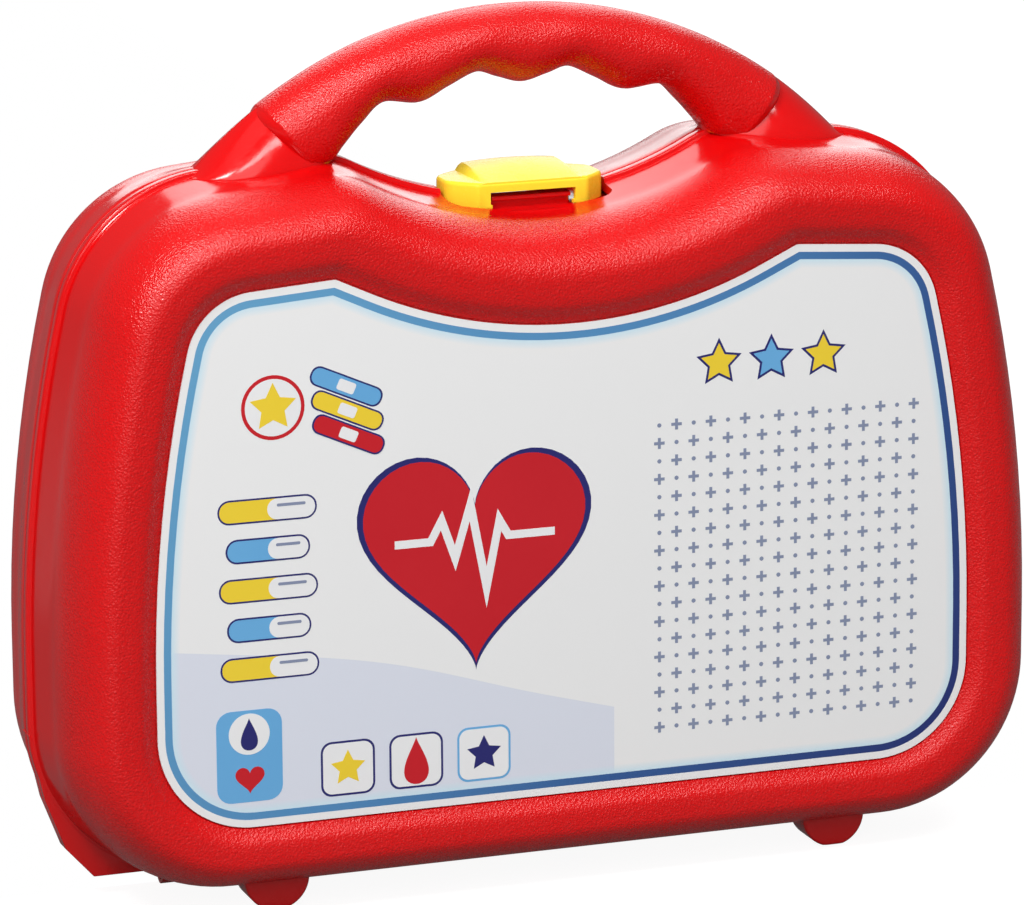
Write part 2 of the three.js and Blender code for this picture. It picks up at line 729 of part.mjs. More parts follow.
// A ring round the grip from its top to its underside. The lower half fills out towards the foot.
function gripRing(high, low, depth, fullness) {
  return Array.from({ length: gripSides + 1 }, (_, side) => {
    const angle = (Math.PI * side) / gripSides;
    const along = high.clone().lerp(low, (1 - Math.cos(angle)) / 2);
    const power = side > gripSides / 2 ? fullness : 1;
    const out = side === gripSides ? 0 : depth * Math.sin(angle) ** power;
    return new THREE.Vector3(along.x, -halfGap - out, along.y);
  });
}

// Half of the grip: a round bar with finger waves under it, flat on the seam, with domed ends.
function gripBody() {
  const rise = handleTop - gripEndHeight;
  const right = gripShares.map(([x, z]) => (
    new THREE.Vector2(x * gripEndReach, gripEndHeight + z * rise)));
  const left = right.slice(1).map(({ x, y }) => new THREE.Vector2(-x, y)).reverse();
  const underside = new THREE.SplineCurve([...left, ...right]);
  const end = right[right.length - 1].x;
  const rings = underside.getPoints(2 * gripSteps).map((low) => {
    const topX = low.x * (1 + gripLeanShare * (low.x / end) ** 2);
    const fullness = THREE.MathUtils.lerp(1, gripFootShare, (low.x / end) ** 4);
    return gripRing(new THREE.Vector2(topX, arcHeight(topX)), low, gripDepth, fullness);
  });
  const dome = (ring) => {
    const [high, low] = [ring[0], ring[ring.length - 1]];
    const out = new THREE.Vector3(high.z - low.z, 0, low.x - high.x).normalize();
    out.multiplyScalar(Math.sign(high.x) * Math.sign(out.z * -high.x) * gripDome);
    return gripDomeShares.map(([shrink, advance]) => ring.map((point) => new THREE.Vector3(
      THREE.MathUtils.lerp(point.x, high.x, shrink) + out.x * advance,
      THREE.MathUtils.lerp(point.y, -halfGap, shrink),
      THREE.MathUtils.lerp(point.z, high.z, shrink) + out.z * advance,
    )));
  };
  return loft([...dome(rings[0]).reverse(), ...rings, ...dome(rings[rings.length - 1])]);
}

// The web that spreads one end of the grip onto the shoulder.
function bracketBody(side) {
  const [shoulder, ear] = [seamCorners[2], seamCorners[3]];
  const draft = (draftShare * (shoulder.z - labelCorners[2].z)) / draftDepth;
  const inner = bracketPlaceShares
    .map((share) => THREE.MathUtils.lerp(bracketInner, bracketMiddle, share));
  const outer = [...bracketPlaceShares, bracketToeShare]
    .map((share) => THREE.MathUtils.lerp(bracketMiddle, bracketOuter, share));
  const rings = [...inner.slice(1), ...outer].map((x) => {
    const reach = x < bracketMiddle ? bracketMiddle - bracketInner : bracketOuter - bracketMiddle;
    const width = bracketDepth * Math.sqrt(1 - ((x - bracketMiddle) / reach) ** 2);
    const foot = THREE.MathUtils.mapLinear(x, ear.x, shoulder.x, ear.z, shoulder.z);
    const climb = (x - bracketInner) * bracketRiseShare;
    const height = Math.max(Math.min(arcHeight(x) - bracketSetback - foot, climb), bracketSetback);
    const curve = Array.from({ length: bracketSteps + 1 }, (_, step) => {
      const angle = (Math.PI / 2) * (step / bracketSteps);
      const out = width * Math.sin(angle) ** bracketCurveShare;
      const up = height * Math.cos(angle) ** bracketCurveShare;
      return new THREE.Vector3(side * x, -halfGap - out, foot + up - draft * out);
    });
    const root = foot - wall * bracketSinkShare;
    return [...curve, new THREE.Vector3(side * x, -halfGap - width, root - draft * width),
      new THREE.Vector3(side * x, -halfGap, root)];
  });
  return loft(rings);
}

function wingBody(side) {
  const points = wingShares.map(([x, z]) => new THREE.Vector2(
    side * x * halfWidth,
    shellBottom + z * bottomCornerRadius,
  ));
  return plate(new THREE.Shape(points), -halfGap, -lipWidth);
}

function footBody(side) {
  const middle = footRadius - footFlat;
  const low = Math.acos(middle / footRadius);
  const shape = new THREE.Shape();
  shape.absarc(side * footReach, middle, footRadius, -Math.PI / 2 + low, 0);
  shape.absarc(side * footReach, middle, footRadius, -Math.PI, -Math.PI / 2 - low);
  const middleY = -footSeat;
  return plate(shape, middleY + footThickness / 2, middleY - footThickness / 2, footSegments);
}

// Joins every part that both halves share. It is drawn for the front half.
function halfShell() {
  let shell = solidOf(shellBody());
  const pocketReach = latchWidth / 2 + pocketMargin;
  const sides = [-1, 1].flatMap((side) => [bracketBody(side), wingBody(side), footBody(side)]);
  const pad = block(
    -pocketReach - wall, pocketReach + wall,
    -latchFront - pocketMargin - wall, -halfGap,
    pocketFloor - pocketPad, pocketFloor + latchSeat / 2,
  );
  for (const addition of [gripBody(), ...sides, pad]) shell = shell.add(solidOf(addition));
  const pocket = block(
    -pocketReach, pocketReach,
    -latchFront - pocketMargin, overrun,
    pocketFloor, pocketFloor + latchHeight,
  );
  return shell.subtract(solidOf(pocket));
}

const sorted = (numbers) => [...numbers].sort((a, b) => a - b);

// Knuckle stretches along X for one side of the case and one half of it.
function knuckleSpans(hinge, ofLid) {
  const length = hinge.to - hinge.from;
  const [start, end] = hinge.lidShares.map((share) => hinge.from + share * length);
  if (ofLid) return [[start + knuckleGap / 2, end - (end < hinge.to ? knuckleGap / 2 : 0)]];
  const spans = [[hinge.from, start - knuckleGap / 2]];
  return end < hinge.to ? [...spans, [end + knuckleGap / 2, hinge.to]] : spans;
}

const hingeRod = (radius, [low, high]) => (
  solidOf(rod(radius, low, high, 0, hingeHeight, hingeSides)));

// Gives a half its knuckles and cuts room for those of the other half.
function withHinge(shell, ofLid) {
  let hinged = shell;
  for (const side of [-1, 1]) {
    for (const hinge of [outerHinge, innerHinge]) {
      const span = (ends) => sorted(ends.map((end) => side * end));
      for (const other of knuckleSpans(hinge, !ofLid).map(span)) {
        const ends = [other[0] - knuckleGap, other[1] + knuckleGap];
        hinged = hinged.subtract(hingeRod(knuckleRadius + clearance, ends));
      }
      for (const own of knuckleSpans(hinge, ofLid).map(span)) {
        hinged = hinged.add(hingeRod(knuckleRadius, own));
      }
      const bore = span([hinge.from - overrun, hinge.to + overrun]);
      hinged = hinged.subtract(hingeRod(pinRadius + clearance, bore));
    }
  }
  return hinged;
}

// Base shell, with the catch that the latch legs snap over
function baseShell() {
  const front = -latchFront + catchSetback;
  const width = latchMouthWidth / 2 - latchNub - clearance;
  const body = block(-width, width, front + catchLedge, front + catchDepth,
    pocketFloor - latchSeat, pocketFloor + catchHeight);
  const ledge = block(-width, width, front, front + catchDepth,
    pocketFloor + catchHeight - catchLedgeHeight, pocketFloor + catchHeight);
  return withHinge(halfShell(), false).add(solidOf(body)).add(solidOf(ledge));
}

// Lid shell: the front half turned round, with the two lugs that carry the latch pin
function lidShell() {
  const turned = geometryOf(halfShell());
  turned.rotateZ(Math.PI);
  let shell = withHinge(solidOf(turned), true);
  const pinHeight = pocketFloor + latchPinHeight;
  for (const side of [-1, 1]) {
    const [low, high] = sorted([side * latchLugReach, side * (latchLugReach + latchLugWidth)]);
    shell = shell.add(solidOf(rod(latchBossRadius, low, high, latchPinReach, pinHeight)));
    shell = shell.add(solidOf(block(
      low, high,
      latchPinReach - latchBossRadius, latchPinReach + latchLugBack,
      pocketFloor - latchSeat / 2, pinHeight,
    )));
  }
  const reach = latchLugReach + latchLugWidth + overrun;
  const bore = rod(latchPinRadius + clearance, -reach, reach, latchPinReach, pinHeight);
  return shell.subtract(solidOf(bore));
}

addPiece("base_shell", geometryOf(baseShell()), materials.red);
addPiece("lid_shell", geometryOf(lidShell()), materials.red);

addPiece("label_panel", loft([
  shellRing(1, labelFace - labelThickness, clearance),
  shellRing(1, labelFace, clearance),
]), materials.white);

for (const [place, hinge] of [["outer", outerHinge], ["inner", innerHinge]]) {
  for (const [side, sign] of [["left", -1], ["right", 1]]) {
    const ends = sorted([sign * (hinge.from + clearance), sign * (hinge.to - clearance)]);
    addPiece(`hinge_pin_${place}_${side}`, geometryOf(hingeRod(pinRadius, ends)), materials.red);
  }
}

// Latch: a lozenge cap with a raised middle, skirt legs at the front and a pin at the tail
function latchBody() {
  const base = pocketFloor + clearance;
  const top = base + latchHeight;
  const half = latchWidth / 2;
  const mouthReach = latchMouthWidth / 2;
  const legEdge = mouthReach + latchLegWidth;
  const corners = [
    { x: legEdge, z: -latchFront, radius: latchCornerRadius, steps: 2 },
    { x: half, z: -latchLobeLength / 2, radius: latchLobeRadius, steps: 3 },
    { x: half, z: latchLobeLength / 2, radius: latchLobeRadius, steps: 3 },
    { x: legEdge, z: latchTail, radius: latchCornerRadius, steps: 2 },
  ];
  const outline = mirrored(corners, []);
  const ring = (inset, height) => roundedLoop(outline, inset)
    .map((point) => new THREE.Vector3(point.x, point.y, height));
  const cap = loft([ring(0, base), ring(0, top - latchEdge), ring(latchEdge, top)]);
  const hump = loft(latchHumpShares.map(([along, rise]) => {
    const y = along < 0 ? -along * -latchFront : along * latchTail;
    const crown = top + latchHumpRise * rise;
    const low = top - latchEdge - latchWall / 2;
    const wide = latchHumpWidth / 2;
    const narrow = wide - latchHumpSlope;
    const waist = (low + crown) / 2 + latchEdge;
    const right = [[wide, low], [wide - latchHumpSlope / 2, waist], [narrow, crown]];
    const left = right.map(([x, z]) => [-x, z]).reverse();
    return [...right, ...left].map(([x, z]) => new THREE.Vector3(x, y, z));
  }));
  const hollow = loft([ring(latchWall, base - overrun), ring(latchWall, top - latchWall)]);
  const humpRoom = latchHumpWidth / 2 - latchHumpWall;
  const humpHollow = block(
    -humpRoom, humpRoom,
    -latchFront + latchWall, latchTail - latchWall,
    base, top,
  );
  const pinHeight = pocketFloor + latchPinHeight;
  const tailRelief = block(-half - overrun, half + overrun, latchPinReach, latchTail + overrun,
    base - overrun, pinHeight - latchTailRelief);
  let latch = solidOf(cap).add(solidOf(hump));
  latch = [hollow, humpHollow, tailRelief].reduce((whole, cut) => whole.subtract(solidOf(cut)), latch);
  const bossStart = latchLugReach + latchLugWidth + clearance;
  const bossEnd = legEdge + latchWall;
  for (const side of [-1, 1]) {
    const boss = sorted([side * bossStart, side * bossEnd]);
    latch = latch.add(solidOf(rod(latchBossRadius, ...boss, latchPinReach, pinHeight)));
    const nub = sorted([side * (mouthReach - latchNub), side * legEdge]);
    latch = latch.add(solidOf(block(
      ...nub,
      -latchFront, -latchFront + latchWall,
      base, base + latchNubHeight,
    )));
  }
  const mouthCut = (reach, low) => block(
    -reach, reach,
    -latchFront - overrun, -latchFront + latchWall + clearance,
    low, base + latchMouthHeight,
  );
  const mouth = mouthCut(mouthReach, base + latchNubHeight);
  const mouthFoot = mouthCut(mouthReach - latchNub, base - overrun);
  const boreEnd = latchPinLength / 2 + clearance;
  const bore = rod(latchPinRadius + clearance, -boreEnd, boreEnd, latchPinReach, pinHeight);
  return [mouth, mouthFoot, bore].reduce((whole, cut) => whole.subtract(solidOf(cut)), latch);
}

addPiece("latch", geometryOf(latchBody()), materials.yellow);
addPiece("latch_pin", rod(
  latchPinRadius,
  -latchPinLength / 2,
  latchPinLength / 2,
  latchPinReach,
  pocketFloor + latchPinHeight,
), materials.yellow);

// Liner tray: a rim flange behind the seam, a sloping wall and a flat deck. Drawn for the front half.
function trayBody(deck) {
  const edge = wall + clearance;
  const ring = (depth, inset) => shellRing(draftAt(depth), depth, inset);
  return loft([
    ring(deck + traySheet, edge + trayRimWidth + traySlope - traySheet / 2),
    ring(trayRim + traySheet, edge + trayRimWidth - traySheet / 2),
    ring(trayRim + traySheet, edge),
    ring(trayRim, edge),
    ring(trayRim, edge + trayRimWidth),
    ring(deck, edge + trayRimWidth + traySlope),
  ]);
}

// Cuts a tray clear of the latch pad in the wall above it.
function clearOfPad(tray) {
  const reach = latchWidth / 2 + pocketMargin + wall + padGap;
  const room = block(-reach, reach, -shellDepth, shellDepth,
    pocketFloor - pocketPad - padGap, pocketFloor + latchHeight);
  return tray.subtract(solidOf(room));
}

// Sinks wells into a tray. Each has an outline, as a function of how far it is grown, and the depth
// of its floor behind the seam.
function withWells(tray, wells, deck, way) {
  const outside = wells.map(({ outline, depth }) => (
    plate(outline(traySheet), way * (deck + traySheet / 2), way * (depth + traySheet), wellSegments)));
  const inside = wells.map(({ outline, depth }) => (
    plate(outline(0), way * (deck - traySheet / 2), way * depth, wellSegments)));
  const grown = outside.reduce((whole, part) => whole.add(solidOf(part)), tray);
  return inside.reduce((whole, part) => whole.subtract(solidOf(part)), grown);
}

const slotWell = (from, to, radius, depth) => ({
  outline: (grow) => slotShape(from, to, radius + wellGap + grow),
  depth: depth + clearance,
});

const lift = (x, z, depth) => new THREE.Vector3(x, -depth, z);

// Everything in the lid tray, in the lid's own half of the case. A head lies square across the top
// of its handle.
const acrossFrom = (bottom, top) => [top[0] + top[1] - bottom[1], top[1] + bottom[0] - top[0]];
const otoscopeAcross = acrossFrom(otoscopeBottom, otoscopeTop);
const hammerAcross = acrossFrom(hammerBottom, hammerTop);
const syringeBar = placeAlong(syringeTip, syringeTop, syringeBarHeight);
const syringeWay = new THREE.Vector2(...syringeTop).sub(new THREE.Vector2(...syringeTip)).normalize();
const syringeRings = [-1, 1].map((side) => [
  syringeBar[0] + side * syringeRingReach * syringeWay.y,
  syringeBar[1] - side * syringeRingReach * syringeWay.x,
]);

function packShape(grow) {
  const [x, z] = packMiddle;
  const way = new THREE.Vector2(Math.sin(packTurn), Math.cos(packTurn));
  const along = way.clone().multiplyScalar(packLength / 2 + grow);
  const across = new THREE.Vector2(way.y, -way.x).multiplyScalar(packWidth / 2 + grow);
  return new THREE.Shape([[-1, -1], [1, -1], [1, 1], [-1, 1]].map(([a, b]) => (
    new THREE.Vector2(x, z).addScaledVector(along, b).addScaledVector(across, a))));
}

const stretch = (from, to, distances) => distances.map((distance) => placeAlong(from, to, distance));
const lidWell = (ends, radius, flatShare = 1) => (
  slotWell(...ends, radius, instrumentDepth + radius * flatShare));
const lidWells = [
  lidWell(stretch(thermometerTip, thermometerTop, thermometerWell), thermometerBodyRadius,
    thermometerFlatShare),
  lidWell([otoscopeBottom, otoscopeTop], otoscopeHandleRadius),
  lidWell(stretch(otoscopeTop, otoscopeAcross, otoscopeHeadWell), otoscopeBarrelRadius),
  lidWell([probeBottom, probeTop], probeCapRadius),
  lidWell([hammerBottom, hammerTop], hammerHandleRadius),
  lidWell(stretch(hammerTop, hammerAcross, hammerHeadWell), hammerHeadRadius),
  lidWell(stretch(syringeTip, syringeTop, syringeBarrelWell), syringeBarrelRadius),
  lidWell(stretch(syringeTip, syringeTop, syringePlungerWell), syringePlungerRadius),
  lidWell(syringeRings, syringeRingRadius + syringeRingTube, syringeRingFlatShare),
  {
    outline: (grow) => packShape(wellGap + grow),
    depth: instrumentDepth + packThickness / 2 + clearance,
  },
];

const lidTrayBody = trayBody(lidDeck);
lidTrayBody.rotateZ(Math.PI);
const lidTray = withWells(clearOfPad(solidOf(lidTrayBody)), lidWells, lidDeck, 1);
addPiece("lid_tray", geometryOf(lidTray), materials.white);

// A turned piece between two places at the depth of the instruments
const instrument = (profile, from, to) => laid(turned(profile), from, to, instrumentDepth);

const thermometerFlat = (profile) => {
  const geometry = turned(profile);
  geometry.scale(1, thermometerFlatShare, 1);
  return laid(geometry, thermometerTip, thermometerTop, instrumentDepth);
};
addPiece("thermometer_body", thermometerFlat(thermometerBodyProfile), materials.red);
const thermometerPoint = instrument(thermometerPointProfile, thermometerTip, thermometerTop);
addPiece("thermometer_tip", thermometerPoint, materials.white);

const otoscopeHandle = instrument(otoscopeHandleProfile, otoscopeBottom, otoscopeTop);
addPiece("otoscope_handle", otoscopeHandle, materials.red);
addPiece("otoscope_head", geometryOf(joined(
  instrument(otoscopeNeckProfile, otoscopeBottom, otoscopeTop),
  instrument(otoscopeBarrelProfile, otoscopeTop, otoscopeAcross),
)), materials.grey);

addPiece("probe", instrument(probeProfile, probeBottom, probeTop), materials.white);
const probeCapStart = probeLength + clearance;
const probeCapMiddle = placeAlong(probeBottom, probeTop, probeCapStart + probeCapRadius);
const probeCap = new THREE.SphereGeometry(probeCapRadius, roundSides, roundSides / 2);
probeCap.translate(probeCapMiddle[0], instrumentDepth, probeCapMiddle[1]);
addPiece("probe_cap", geometryOf(solidOf(probeCap)), materials.green);

const hammerHandle = instrument(hammerHandleProfile, hammerBottom, hammerTop);
addPiece("hammer_handle", hammerHandle, materials.red);
addPiece("hammer_head", geometryOf(joined(
  instrument(hammerNeckProfile, hammerBottom, hammerTop),
  instrument(hammerHeadProfile, hammerTop, hammerAcross),
)), materials.grey);

// Syringe barrel, open at the top, with the finger bar and its two rings
function syringeBarrel() {
  const barrel = turned(syringeBarrelProfile);
  const bore = turned([
    [syringeBore, syringeBoreStart],
    [syringeBore, syringeBarrelLength + overrun],
  ]);
  const bar = new THREE.BoxGeometry(2 * syringeRingReach, syringeBarWidth, syringeBarWidth / 2);
  bar.translate(0, 0, syringeBarHeight);
  const rings = [-1, 1].map((side) => {
    const ring = new THREE.TorusGeometry(syringeRingRadius, syringeRingTube, pegSides, roundSides);
    ring.rotateX(Math.PI / 2);
    ring.translate(side * syringeRingReach, 0, syringeBarHeight);
    return ring;
  });
  const gaps = [-1, 1].map((side) => {
    const radius = syringeRingRadius - syringeRingTube;
    const gap = new THREE.CylinderGeometry(radius, radius, 2 * syringeBarWidth, roundSides);
    gap.translate(side * syringeRingReach, 0, syringeBarHeight);
    return gap;
  });
  const whole = joined(barrel, bar, ...rings);
  return geometryOf([...gaps, bore].reduce((rest, cut) => rest.subtract(solidOf(cut)), whole));
}
const barrel = laid(syringeBarrel(), syringeTip, syringeTop, instrumentDepth);
addPiece("syringe_barrel", barrel, materials.red);
const syringePlunger = instrument(syringePlungerProfile, syringeTip, syringeTop);
addPiece("syringe_plunger", syringePlunger, materials.white);

addPiece("plaster_pack", plate(
  packShape(0),
  instrumentDepth - packThickness / 2,
  instrumentDepth + packThickness / 2,
  1,
  packEdge,
), materials.white);

// Everything in the base tray, on the label side of the seam
const bulbRoom = slotWell(
  ...bulbWell.map((distance) => placeAlong(bulbMiddle, bulbEnd, distance)),
  bulbRadius,
  bulbDepth + bulbRadius * bulbFlatShare,
);
const tubeLine = (pathShares) => pathShares.map(([x, z, rise]) => (
  lift(x * halfWidth, z * shoulderHeight, deckTop - (1 + rise) * tubeRadius)));
const hoseLine = tubeLine(hosePathShares);
const leftLine = tubeLine(leftTubePathShares);
const rightLine = tubeLine(rightTubePathShares);

function pegsAlong(line, shares) {
  const curve = new THREE.CatmullRomCurve3(line);
  return shares.flatMap((share) => [-1, 1].map((side) => {
    const [place, way] = [curve.getPointAt(share), curve.getTangentAt(share)];
    const reach = side * (tubeRadius + clearance + pegRadius);
    const [x, z] = [place.x - reach * way.z, place.z + reach * way.x];
    const [low, high] = [baseDeck + traySheet / 2, baseDeck - pegHeight];
    return rodBetween(lift(x, z, low), lift(x, z, high), pegRadius, pegSides);
  }));
}

const pegs = [
  ...pegsAlong(hoseLine, hosePegShares),
  ...pegsAlong(leftLine, leftPegShares),
  ...pegsAlong(rightLine, rightPegShares),
];
const baseTray = pegs.reduce(
  (whole, peg) => whole.add(solidOf(peg)),
  withWells(clearOfPad(solidOf(trayBody(baseDeck))), [bulbRoom], baseDeck, -1),
);
addPiece("base_tray", geometryOf(baseTray), materials.white);

// The end of a tube, drawn straight and wider, as the socket in the piece that takes it.
function socketFor(line) {
  const [end, before] = line.slice(-2).reverse();
  const way = end.clone().sub(before).normalize();
  return solidOf(rodBetween(
    end.clone().addScaledVector(way, clearance),
    end.clone().addScaledVector(way, -2 * socketDepth),
    tubeRadius + socketGap,
    tubeSides,
  ));
}

// Points a piece built along +Z along the end of a tube, from a distance before it.
function onTubeEnd(geometry, line, distance) {
  const [end, before] = line.slice(-2).reverse();
  const way = end.clone().sub(before).normalize();
  geometry.applyQuaternion(new THREE.Quaternion().setFromUnitVectors(new THREE.Vector3(0, 0, 1), way));
  const start = end.clone().addScaledVector(way, distance);
  geometry.translate(start.x, start.y, start.z);
  return solidOf(geometry);
}

// Connector: three arms with a socket in the end of each
const connectorCentre = lift(...connectorMiddle, connectorDepth);
const connectorCore = new THREE.SphereGeometry(connectorRadius, tubeSides, tubeSides / 2);
connectorCore.translate(connectorCentre.x, connectorCentre.y, connectorCentre.z);
const connectorBody = joined(connectorCore, ...connectorArms.map((arm) => (
  rodBetween(connectorCentre, lift(...arm, connectorDepth), connectorRadius, tubeSides))));
const connector = [hoseLine, leftLine, rightLine]
  .reduce((whole, line) => whole.subtract(socketFor([...line].reverse())), connectorBody);
addPiece("stethoscope_connector", geometryOf(connector), materials.grey);
addPiece("stethoscope_hose", tube(hoseLine, tubeRadius, hoseSteps), materials.blue);
addPiece("ear_tube_left", tube(leftLine, tubeRadius, leftTubeSteps), materials.red);
addPiece("ear_tube_right", tube(rightLine, tubeRadius, rightTubeSteps), materials.red);
for (const [side, line] of [["left", leftLine], ["right", rightLine]]) {
  const tip = onTubeEnd(turned(tipProfile), line, 0).subtract(socketFor(line));
  addPiece(`ear_tip_${side}`, geometryOf(tip), materials.yellow);
}

// Chest piece over its diaphragm, with the stem that takes the hose and three lugs
function chestPiece() {
  const deckGap = diaphragmThickness + clearance;
  const disc = turned(chestProfile, 2 * roundSides);
  disc.rotateX(-Math.PI / 2);
  disc.translate(chestMiddle[0], deckGap - deckTop, chestMiddle[1]);
  const hoseEnd = hoseLine[hoseLine.length - 1];
  const rimGap = Math.hypot(hoseEnd.x - chestMiddle[0], hoseEnd.z - chestMiddle[1]) - chestRadius;
  const stemLength = socketDepth + rimGap + chestStemBite;
  const stemProfile = [[connectorRadius, 0], [connectorRadius, stemLength]];
  const stem = onTubeEnd(turned(stemProfile, tubeSides), hoseLine, -socketDepth);
  const lugs = chestLugShares.map((share) => {
    const angle = 2 * Math.PI * share;
    const x = chestMiddle[0] + chestLugReach * Math.cos(angle);
    const z = chestMiddle[1] + chestLugReach * Math.sin(angle);
    const foot = deckTop - deckGap;
    return rodBetween(lift(x, z, foot), lift(x, z, foot - chestLugHeight), chestLugRadius, pegSides);
  });
  return geometryOf(joined(disc, ...lugs).add(stem).subtract(socketFor(hoseLine)));
}
addPiece("chest_piece", chestPiece(), materials.red);
addPiece("chest_diaphragm", rodBetween(
  lift(...chestMiddle, deckTop),
  lift(...chestMiddle, deckTop - diaphragmThickness),
  diaphragmRadius,
  2 * roundSides,
), materials.white);

const bulb = turned(bulbProfile);
bulb.scale(1, bulbFlatShare, 1);
addPiece("bulb", laid(bulb, bulbMiddle, bulbEnd, -bulbDepth), materials.red);

// Scissors and forceps. A layer is the depth of its face nearer the seam.
const lowerLayer = deckTop - layerThickness;
const upperLayer = lowerLayer - layerGap - layerThickness;
const layerPlate = (shape, layer, segments = loopSegments) => (
  plate(shape, -layer, -(layer + layerThickness), segments));
const disc = (place, radius) => {
  const shape = new THREE.Shape();
  shape.absarc(...place, radius, 0, 2 * Math.PI);
  return shape;
};

// One handle: an arm from the pivot to a finger loop, which can be longer than it is wide.
function handle(pivot, loop, stretch, layer) {
  const length = Math.hypot(loop[0] - pivot[0], loop[1] - pivot[1]);
  const far = placeAlong(pivot, loop, length + stretch);
  const grip = (radius) => layerPlate(slotShape(loop, far, radius), layer);
  const arm = layerPlate(slotShape(pivot, loop, handleArmWidth / 2), layer, armSegments);
  const whole = joined(grip(loopRadius), arm, layerPlate(disc(pivot, pivotRadius), layer));
  return geometryOf(whole.subtract(solidOf(grip(loopHole)))
    .subtract(solidOf(layerPlate(disc(pivot, pivotPinRadius + clearance), layer))));
}

// A blade or jaw: outline points are shares of its length and of its width.
function blade(pivot, tip, outlineShares, width, layer) {
  const length = Math.hypot(tip[0] - pivot[0], tip[1] - pivot[1]);
  const along = new THREE.Vector2(tip[0] - pivot[0], tip[1] - pivot[1]).normalize();
  const across = new THREE.Vector2(-along.y, along.x);
  const points = outlineShares.map(([a, b]) => new THREE.Vector2(...pivot)
    .addScaledVector(along, a * length)
    .addScaledVector(across, b * width));
  const body = solidOf(layerPlate(new THREE.Shape(points), layer));
  return geometryOf(body.subtract(solidOf(layerPlate(disc(pivot, pivotRadius + layerGap), layer))));
}

const tools = {
  scissors: {
    pivot: scissorsPivot,
    tip: scissorsBladeTip,
    loops: scissorsLoops,
    stretches: [layerGap, scissorsLongLoop],
    width: bladeWidth,
    outlineShares: bladeShares,
    end: "blade",
  },
  forceps: {
    pivot: forcepsPivot,
    tip: forcepsJawTip,
    loops: forcepsLoops,
    stretches: [layerGap, layerGap],
    width: jawWidth,
    outlineShares: jawShares,
    end: "jaw",
  },
};
for (const [name, tool] of Object.entries(tools)) {
  [["upper", upperLayer, 1], ["lower", lowerLayer, -1]].forEach(([place, layer, side], i) => {
    const outlineShares = tool.outlineShares.map(([a, b]) => [a, side * b]);
    const grip = handle(tool.pivot, tool.loops[i], tool.stretches[i], layer);
    const end = blade(tool.pivot, tool.tip, outlineShares, tool.width, layer);
    addPiece(`${name}_handle_${place}`, grip, materials.red);
    addPiece(`${name}_${tool.end}_${place}`, end, materials.grey);
  });
  const pin = rodBetween(
    lift(...tool.pivot, deckTop),
    lift(...tool.pivot, upperLayer - pivotHeadThickness / 2),
    pivotPinRadius,
    tubeSides,
  );
  const head = rodBetween(
    lift(...tool.pivot, upperLayer - layerGap),
    lift(...tool.pivot, upperLayer - layerGap - pivotHeadThickness),
    pivotHeadRadius,
  );
  addPiece(`${name}_pivot`, geometryOf(joined(pin, head)), materials.darkGrey);
}

export default doctorCase;
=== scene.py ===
"""Toy doctor case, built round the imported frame. The labelled half faces -Y, up is +Z.

Shapes are drawn in millimetres and brought to metres when a piece is finished.
"""
from math import atan2, cos, pi, radians, sin, sqrt, tan

import bmesh
import bpy
from mathutils import Matrix, Vector


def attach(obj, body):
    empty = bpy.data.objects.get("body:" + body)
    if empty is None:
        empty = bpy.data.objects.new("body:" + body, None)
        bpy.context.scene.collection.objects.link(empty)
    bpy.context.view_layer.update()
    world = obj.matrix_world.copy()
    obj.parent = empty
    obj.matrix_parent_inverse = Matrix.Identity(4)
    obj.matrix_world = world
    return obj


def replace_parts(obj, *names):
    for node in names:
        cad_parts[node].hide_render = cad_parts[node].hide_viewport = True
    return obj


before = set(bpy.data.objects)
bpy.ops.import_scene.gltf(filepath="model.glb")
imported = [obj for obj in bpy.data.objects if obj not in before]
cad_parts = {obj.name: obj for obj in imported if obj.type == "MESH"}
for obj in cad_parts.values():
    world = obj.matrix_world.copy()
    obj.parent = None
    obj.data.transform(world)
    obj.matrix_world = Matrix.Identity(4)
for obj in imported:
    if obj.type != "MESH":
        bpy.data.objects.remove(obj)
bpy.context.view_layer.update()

MM = 0.001
TINY = 0.001
OUTWARDS = Vector((0, 1, 0))

# Camera, in millimetres and degrees: it stands in front of the label, to its left and above
CAMERA_PLACE = (-484.8, -1368.2, 455.3)
CAMERA_TURN = 19.42
CAMERA_TILT = 13.334
CAMERA_ROLL = -0.401
CAMERA_LENS = 193.36
CAMERA_SENSOR = 36
CAMERA_FAR = 100000

# Outline of the case at the seam: corners as (x, z, radius, arc steps), right side first
HALF_WIDTH = 139
SHOULDER_HEIGHT = 198
SHELL_BOTTOM = 4.7
SHELL_DEPTH = 42.3
HALF_GAP = 0.15
WALL = 2.4
CLEARANCE = 0.3
OVERRUN = 1
SEAM_SIDE = [
    (HALF_WIDTH, SHELL_BOTTOM, 45, 24),
    (HALF_WIDTH, 113.652, 410, 10),
    (120.791, 191.466, 44, 24),
    (55.6, SHOULDER_HEIGHT, 28, 14),
]
SEAM_DIP = (0, 169.686, 103.7, 48)
LABEL_SIDE = [
    (115.092, 26.1954, 26.5, 24),
    (115.092, 111.395, 385, 10),
    (101.609, 169.092, 19.4, 24),
    (64.3987, 171.706, 2, 14),
]
LABEL_DIP = (0, 141.808, 129.7, 48)
LABEL_FACE = 39.9
SHARP_CORNER = 0.05

# Pieces that run into the lip start a little behind it, so that no two faces share a plane
SEAM_FACE = HALF_GAP + 0.04
GRIP_FACE = HALF_GAP + 0.02

